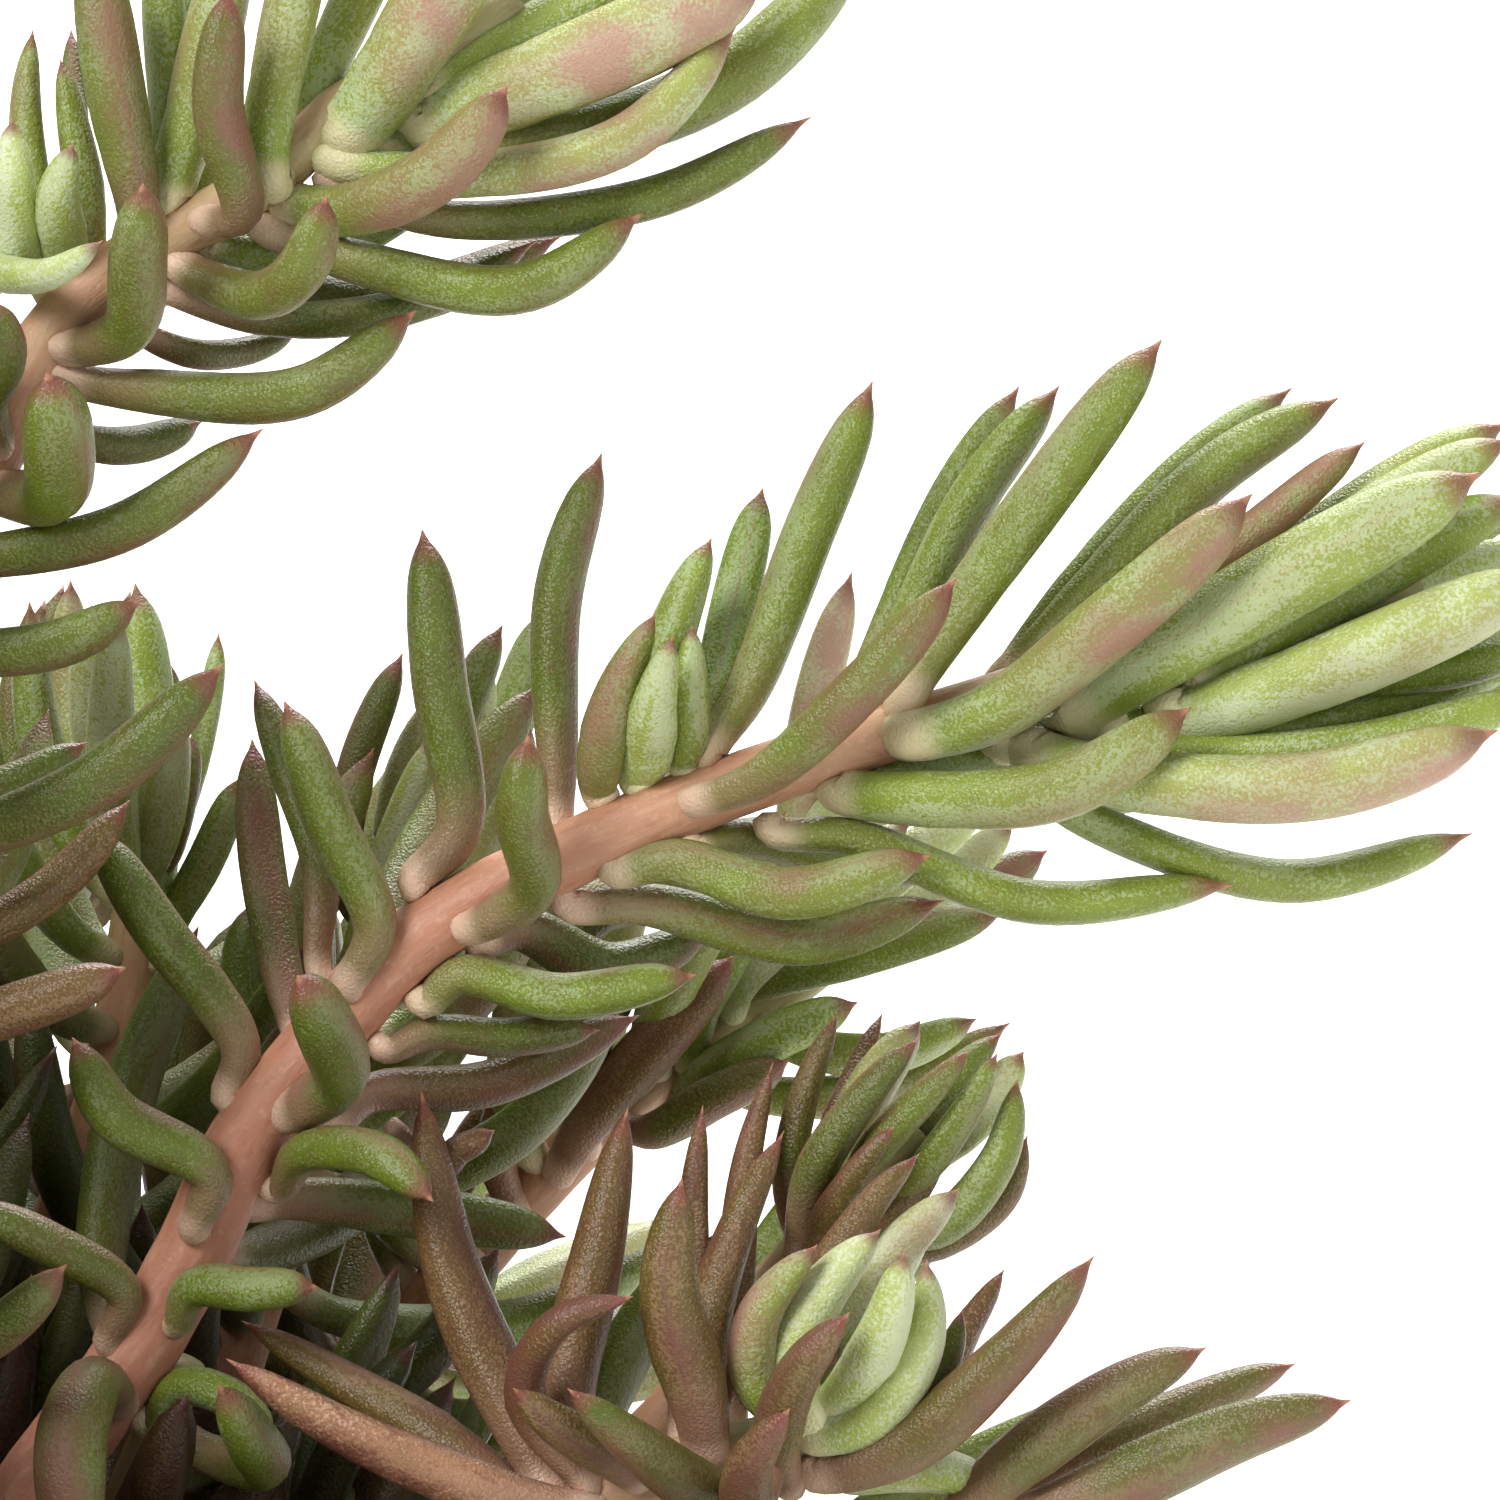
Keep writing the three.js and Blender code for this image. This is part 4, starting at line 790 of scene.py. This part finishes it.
def clayPaint():
    paint = Paint("fired clay")
    cloud = paint.noise(28, 4)
    grit = paint.noise(900, 4, 0.6)
    height = paint.node("ShaderNodeSeparateXYZ", inputs={"Vector": paint.places}, output="Z")
    low = 1 - height.ramp(0.0, clayLook["saltTop"])
    salt = (paint.noise(60, 5, 0.6).ramp(0.55, 0.72) * low).clamped()
    dusty = paint.blend(salt * 0.35, paint.steps(cloud, clayLook["tints"]), colour(*clayLook["salt"]))
    grained = paint.blend((grit - 0.45).ramp(0.0, 0.2) * 0.25, dusty, colour(*clayLook["grit"]))
    return paint.finish(grained, clayLook["roughness"] + (grit - 0.5) * 0.2, grit * 0.5 + cloud,
                        clayLook["relief"], clayLook["depth"])


# Dark and light colour of each kind of crumb.
crumbLook = dict(soil=((38, 27, 20), (74, 54, 38)), bark=((58, 38, 26), (104, 74, 50)),
                 grit=((196, 190, 178), (226, 222, 212)), roughness=0.95, relief=0.9, depth=0.0008)


def soilPaint(name, kind):
    paint = Paint(name)
    lump = paint.noise(420, 5, 0.65)
    grain = paint.noise(1800, 4, 0.6)
    tint = paint.blend(grain.ramp(0.3, 0.7), *(colour(*shade) for shade in crumbLook[kind]))
    return paint.finish(tint, crumbLook["roughness"], lump + grain * 0.4,
                        crumbLook["relief"], crumbLook["depth"])


leafSkin = leafPaint()
stemSkin = stemPaint()
claySkin = clayPaint()
soilSkin = soilPaint("potting soil", "soil")
barkSkin = soilPaint("bark crumbs", "bark")
gritSkin = soilPaint("white grit", "grit")
print("materials made")


# Leaf and stem blanks are spun round the Y axis: radius, and place from 0 to 1 along it.
leafOutline = [(0.0, 0.0), (0.4, 0.005), (0.52, 0.018), (0.57, 0.05), (0.61, 0.11), (0.71, 0.19),
               (0.86, 0.29), (0.96, 0.4), (1.0, 0.52), (1.0, 0.66), (0.96, 0.76), (0.88, 0.83),
               (0.76, 0.88), (0.59, 0.918), (0.4, 0.944), (0.24, 0.96), (0.14, 0.972), (0.08, 0.986),
               (0.0, 1.0)]
leafSection = dict(wide=1.06, inner=0.74, outer=1.0)  # flatter on the side that faces the stem
leafEnds = dict(sunk=0.6, baseTo=0.35, taperFrom=0.4, taperRun=0.56, patternStep=7.3)
blankSize = dict(close=(36, 16), plain=(12, 6), stem=(90, 14))  # rings and sides


def profileOf(outline, rings):  # the outline read at more rings, closer together at its ends
    radii, places = zip(*outline)
    spread = 0.5 - 0.5 * np.cos(np.linspace(0, math.pi, rings))
    spread = spread * 0.75 + np.linspace(0, 1, rings) * 0.25
    return [(float(np.interp(place, places, radii)), float(place)) for place in spread]


def newMesh(name, bm, smooth=True):
    mesh = bpy.data.meshes.new(name)
    if smooth:
        for face in bm.faces:
            face.smooth = True
    bm.to_mesh(mesh)
    bm.free()
    return mesh


def newPiece(name, mesh, *skins, slotName, replaced=()):
    piece = bpy.data.objects.new(name, mesh)
    bpy.context.scene.collection.objects.link(piece)
    for skin in skins:
        mesh.materials.append(skin)
    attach(piece, "root")
    if replaced:
        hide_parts(*replaced)
    return piece


def spun(places, axis, sides, merge):  # a profile turned once round an axis
    bm = bmesh.new()
    verts = [bm.verts.new(place) for place in places]
    edges = [bm.edges.new(pair) for pair in zip(verts, verts[1:])]
    bmesh.ops.spin(bm, geom=verts + edges, axis=axis, cent=(0, 0, 0), angle=math.tau, steps=sides,
                   use_merge=True, use_duplicate=False)
    bmesh.ops.remove_doubles(bm, verts=bm.verts, dist=merge)
    bmesh.ops.recalc_face_normals(bm, faces=bm.faces)
    return bm


def spunBlank(name, profile, sides, skin=0):
    bm = spun([(radius, along, 0) for radius, along in profile], (0, 1, 0), sides, 1e-5)
    for layerName in ("along", "tone", "blush", "crest", "dull"):
        bm.verts.layers.float.new(layerName)
    bm.verts.layers.float_vector.new("spot")
    for face in bm.faces:
        face.material_index = skin
    return newMesh(name, bm)


def cornersOf(mesh):
    corners = np.zeros(len(mesh.vertices) * 3)
    mesh.vertices.foreach_get("co", corners)
    return corners.reshape(-1, 3)


rings, sides = blankSize["stem"]
stemProfile = [(0.0, 0.0)] + [(1.0, along) for along in np.linspace(0, 1, rings)] + [(0.0, 1.0)]
stemBlank = spunBlank("stem blank", stemProfile, sides, skin=1)
closeBlank, plainBlank = (spunBlank(kind + " leaf blank", profileOf(leafOutline, rings), sides)
                          for kind, (rings, sides) in blankSize.items() if kind != "stem")
blankCorners = {blank.name: cornersOf(blank) for blank in (closeBlank, plainBlank, stemBlank)}


def bent(corners, line, sideways, radius, wide=1.0, inner=1.0, outer=1.0):
    along = np.clip(corners[:, 1], 0, 1)
    forward = line.heading(along)
    side = sideways - forward * (forward @ sideways)[:, None]
    side /= np.linalg.norm(side, axis=1, keepdims=True)
    over = np.cross(side, forward)
    high = corners[:, 2] * np.where(corners[:, 2] > 0, inner, outer)
    radius = np.broadcast_to(radius, along.shape)[:, None]
    return line.at(along) + side * corners[:, :1] * wide * radius + over * high[:, None] * radius


def leafyStem(stem):
    bm = bmesh.new()
    places, along, tone, blush, crest, dull, spots = [], [], [], [], [], [], []

    def add(blank, corners, look, length, radius):
        bm.from_mesh(blank)
        shape = blankCorners[blank.name]
        places.append(corners)
        along.append(shape[:, 1])
        for key, values in dict(tone=tone, blush=blush, dull=dull).items():
            values.append(np.full(len(shape), look.get(key, 0)))
        girth = np.hypot(shape[:, 0], shape[:, 2]) + 1e-6
        crest.append(1 - np.abs(shape[:, 0] / girth))
        spots.append(shape * (radius, length, radius) + (0, 0, len(places) * leafEnds["patternStep"]))

    line = stem["line"]
    share = np.clip(blankCorners[stemBlank.name][:, 1], 0, 1)
    swell = np.array([noise.noise(Vector((s * stem["length"] / 2, stem["length"], 0))) for s in share])
    sideways = squareTo(unit(line.at(1.0) - line.at(0.0)))
    thick = stemThickness(share) * (1 + stemSize["swell"] * swell)
    corners = bent(blankCorners[stemBlank.name], line, sideways, thick)
    add(stemBlank, corners, {}, stem["length"], stemSize["radius"])
    for leaf in stem["grown"]:
        axis, foot, *rest = leaf["places"]
        blank = closeBlank if leaf["close"] else plainBlank
        leafLine = Line([axis + (foot - axis) * leafEnds["sunk"], foot, *rest])
        run = np.clip(blankCorners[blank.name][:, 1], 0, 1)
        widened = 1 + leaf["base"] * np.clip(1 - run / leafEnds["baseTo"], 0, 1)
        narrowed = 1 - leaf["taper"] * np.clip((run - leafEnds["taperFrom"]) / leafEnds["taperRun"], 0, 1)
        corners = bent(blankCorners[blank.name], leafLine, leaf["sideways"],
                       leaf["radius"] * widened * narrowed, **leafSection)
        add(blank, corners, leaf, leafLine.length, leaf["radius"])

    mesh = newMesh(stem["name"] + " leafy", bm)
    mesh.vertices.foreach_set("co", (np.concatenate(places) * mm).ravel())
    for key, values in dict(along=along, tone=tone, blush=blush, crest=crest, dull=dull).items():
        mesh.attributes[key].data.foreach_set("value", np.concatenate(values).astype(np.float32))
    mesh.attributes["spot"].data.foreach_set("vector", np.concatenate(spots).astype(np.float32).ravel())
    mesh.update()
    newPiece(stem["name"] + "_leafy", mesh, leafSkin, stemSkin, slotName="leafy_stem",
             replaced=[] if stem.get("loose") else [stem["name"]])


for stem in stems:
    leafyStem(stem)
for blank in (closeBlank, plainBlank, stemBlank):
    bpy.data.meshes.remove(blank)
print("leafy stems made")


# The pot is a spun profile with the drainage holes cut through its floor.
potLook = dict(sides=96, holeSides=32, drillLength=0.02, sharpFrom=math.radians(50))


def spunOnTable(profile, sides):  # radius and height in millimetres, round the Z axis
    return spun([(radius * mm, 0, height * mm) for radius, height in profile], (0, 0, 1), sides, 1e-7)


def makePot():
    top = pot["height"]
    collarBottom = top - pot["collarHeight"]
    shoulder = pot["rimRadius"] - pot["collarStep"]
    rim, foot, floor = pot["rimRadius"], pot["footRadius"], pot["floor"]
    inside = rim - pot["wall"]
    profile = [(0, 0), (foot, 0), (foot + 0.7, 0.3), (foot + 1, 1), (shoulder - 1.5, collarBottom - 0.5),
               (shoulder - 1.2, collarBottom - 0.1), (shoulder + 1.2, collarBottom),
               (shoulder + 2, collarBottom + 0.6), (rim, top - 1.4), (rim - 0.3, top - 0.5), (rim - 1.2, top),
               (inside + 1, top), (inside + 0.2, top - 0.3), (inside, top - 1), (foot - 1.5, floor + 2),
               (foot - 2.2, floor + 0.5), (foot - 3.5, floor), (0, floor)]
    body = newPiece("clay_pot", newMesh("clay pot", spunOnTable(profile, potLook["sides"])), claySkin,
                    slotName="clay", replaced=["pot"])
    for number in range(pot["drains"]):
        angle = math.pi / 2 + number * math.tau / pot["drains"]
        bm = bmesh.new()
        radius, away = pot["drainRadius"] * mm, pot["drainCircle"] * mm
        bmesh.ops.create_cone(bm, cap_ends=True, segments=potLook["holeSides"],
                              radius1=radius, radius2=radius, depth=potLook["drillLength"])
        bmesh.ops.translate(bm, verts=bm.verts, vec=(away * math.cos(angle), away * math.sin(angle),
                                                     pot["floor"] * mm / 2))
        cutter = bpy.data.objects.new("drill", newMesh("drill", bm, smooth=False))
        bpy.context.scene.collection.objects.link(cutter)
        cut = body.modifiers.new("drain", "BOOLEAN")
        cut.operation = "DIFFERENCE"
        cut.solver = "EXACT"
        cut.object = cutter
        bpy.context.view_layer.update()
        drilled = bpy.data.meshes.new_from_object(body.evaluated_get(bpy.context.evaluated_depsgraph_get()))
        body.modifiers.remove(cut)
        body.data = drilled
        bpy.data.objects.remove(cutter)
    body.data.set_sharp_from_angle(angle=potLook["sharpFrom"])


makePot()
print("pot made")


# The soil has a heaped, lumpy surface, with crumbs of bark and white grit lying on it.
soilLook = dict(sides=96, rings=26, crumbs=900, grit=70, lump=0.00066, crumbSize=(0.5, 1.5), crumbMargin=1.4)


def soilHeight(x, y):  # millimetres
    heap = 1 - math.hypot(x, y) / pot["rimRadius"]
    return soilTop + soil["rise"] * 0.6 * heap + math.sin(x * 0.31 + 1) * math.cos(y * 0.37) * 0.5


def makeSoil():
    rim, foot, floor = pot["rimRadius"] - pot["wall"], pot["footRadius"] - 1.5, pot["floor"]
    run = (rim - foot) / (pot["height"] - 1 - floor - 2)

    def wallAt(height):
        return foot + (height - floor - 2) * run - soil["gap"] * 1.4

    rings = soilLook["rings"]
    profile = [(0, floor + 0.3), (foot - 3, floor + 0.3), (wallAt(floor + 2.8), floor + 2.8),
               (wallAt(soilTop - 1.5), soilTop - 1.5)]
    profile += [(wallAt(soilTop) * (1 - ring / rings), soilTop) for ring in range(rings + 1)]
    bm = spunOnTable(profile, soilLook["sides"])
    for vert in bm.verts:
        if vert.co.z > (soilTop - 0.5) * mm:
            x, y = vert.co.x / mm, vert.co.y / mm
            lump = noise.fractal(Vector((x, y, 3)) * 0.45, 1.0, 2.0, 4)
            vert.co.z = soilHeight(x, y) * mm + lump * soilLook["lump"]
    newPiece("soil_body", newMesh("soil body", bm), soilSkin, slotName="soil", replaced=["soil"])

    for name, count, skin, seed in (("bark_crumbs", soilLook["crumbs"], barkSkin, 3),
                                    ("grit_crumbs", soilLook["grit"], gritSkin, 8)):
        rng = np.random.default_rng(seed)
        bm = bmesh.new()
        for _ in range(count):
            distance = math.sqrt(rng.random()) * (wallAt(soilTop) - soilLook["crumbMargin"])
            angle = rng.random() * math.tau
            x, y = distance * math.cos(angle), distance * math.sin(angle)
            size = rng.uniform(*soilLook["crumbSize"])
            new = bmesh.ops.create_icosphere(bm, subdivisions=1, radius=size * mm)["verts"]
            bmesh.ops.scale(bm, verts=new, vec=rng.uniform(0.5, 1.0, 3))
            for vert in new:
                vert.co *= rng.uniform(0.8, 1.15)
            bmesh.ops.translate(bm, verts=new, vec=(x * mm, y * mm, (soilHeight(x, y) + size * 0.15) * mm))
        newPiece(name, newMesh(name, bm, smooth=False), skin, slotName="soil")


makeSoil()
print("soil made")


# Floor, camera and lamps; each lamp has its place, size, power and, if not the plant, what it lights.
studio = dict(floor=6.0, floorColour=(0.92, 0.92, 0.92, 1), floorRoughness=0.9, sky=0.36,
              lens=240, sensor=36, distance=0.4, nearest=0.01, farthest=50)
lamps = [("key light", (-0.6, -0.7, 0.9), 0.6, 15.5, None),
         ("fill light", (0.9, -0.6, 0.4), 0.8, 2.5, None),
         ("top light", (0.1, 0.5, 1.2), 1.0, 8, None),
         ("floor wash", (0.2, 1.6, 1.3), 1.6, 60, (0.2, 1.5, 0))]


def turned(back):
    return (-back).to_track_quat("-Z", "Y").to_euler()


def makeStudio():
    bm = bmesh.new()
    bmesh.ops.create_grid(bm, x_segments=1, y_segments=1, size=studio["floor"])
    floor = bpy.data.objects.new("studio_floor", newMesh("studio floor", bm))
    bpy.context.scene.collection.objects.link(floor)
    floor.data.materials.append(Paint("pale floor").finish(studio["floorColour"], studio["floorRoughness"]))

    world = bpy.data.worlds.new("soft room")
    world.use_nodes = True
    background = world.node_tree.nodes["Background"]
    background.inputs["Color"].default_value = (1, 1, 1, 1)
    background.inputs["Strength"].default_value = studio["sky"]
    bpy.context.scene.world = world

    aim = Vector(view["centre"]) * mm
    for name, spot, size, power, lit in lamps:
        lamp = bpy.data.lights.new(name, "AREA")
        lamp.shape = "DISK"
        lamp.size = size
        lamp.energy = power
        light = bpy.data.objects.new(name, lamp)
        light.location = spot
        light.rotation_euler = turned(Vector(spot) - (Vector(lit) if lit else aim))
        bpy.context.scene.collection.objects.link(light)

    eye = bpy.data.cameras.new("close-up")
    eye.sensor_width = studio["sensor"]
    eye.lens = studio["lens"]
    eye.clip_start = studio["nearest"]
    eye.clip_end = studio["farthest"]
    camera = bpy.data.objects.new("close-up", eye)
    camera.location = aim + Vector(viewNear) * studio["distance"]
    camera.rotation_euler = turned(Vector(viewNear))
    bpy.context.scene.collection.objects.link(camera)
    bpy.context.scene.camera = camera
    bpy.context.scene.view_settings.view_transform = "Standard"


makeStudio()
print("studio made")
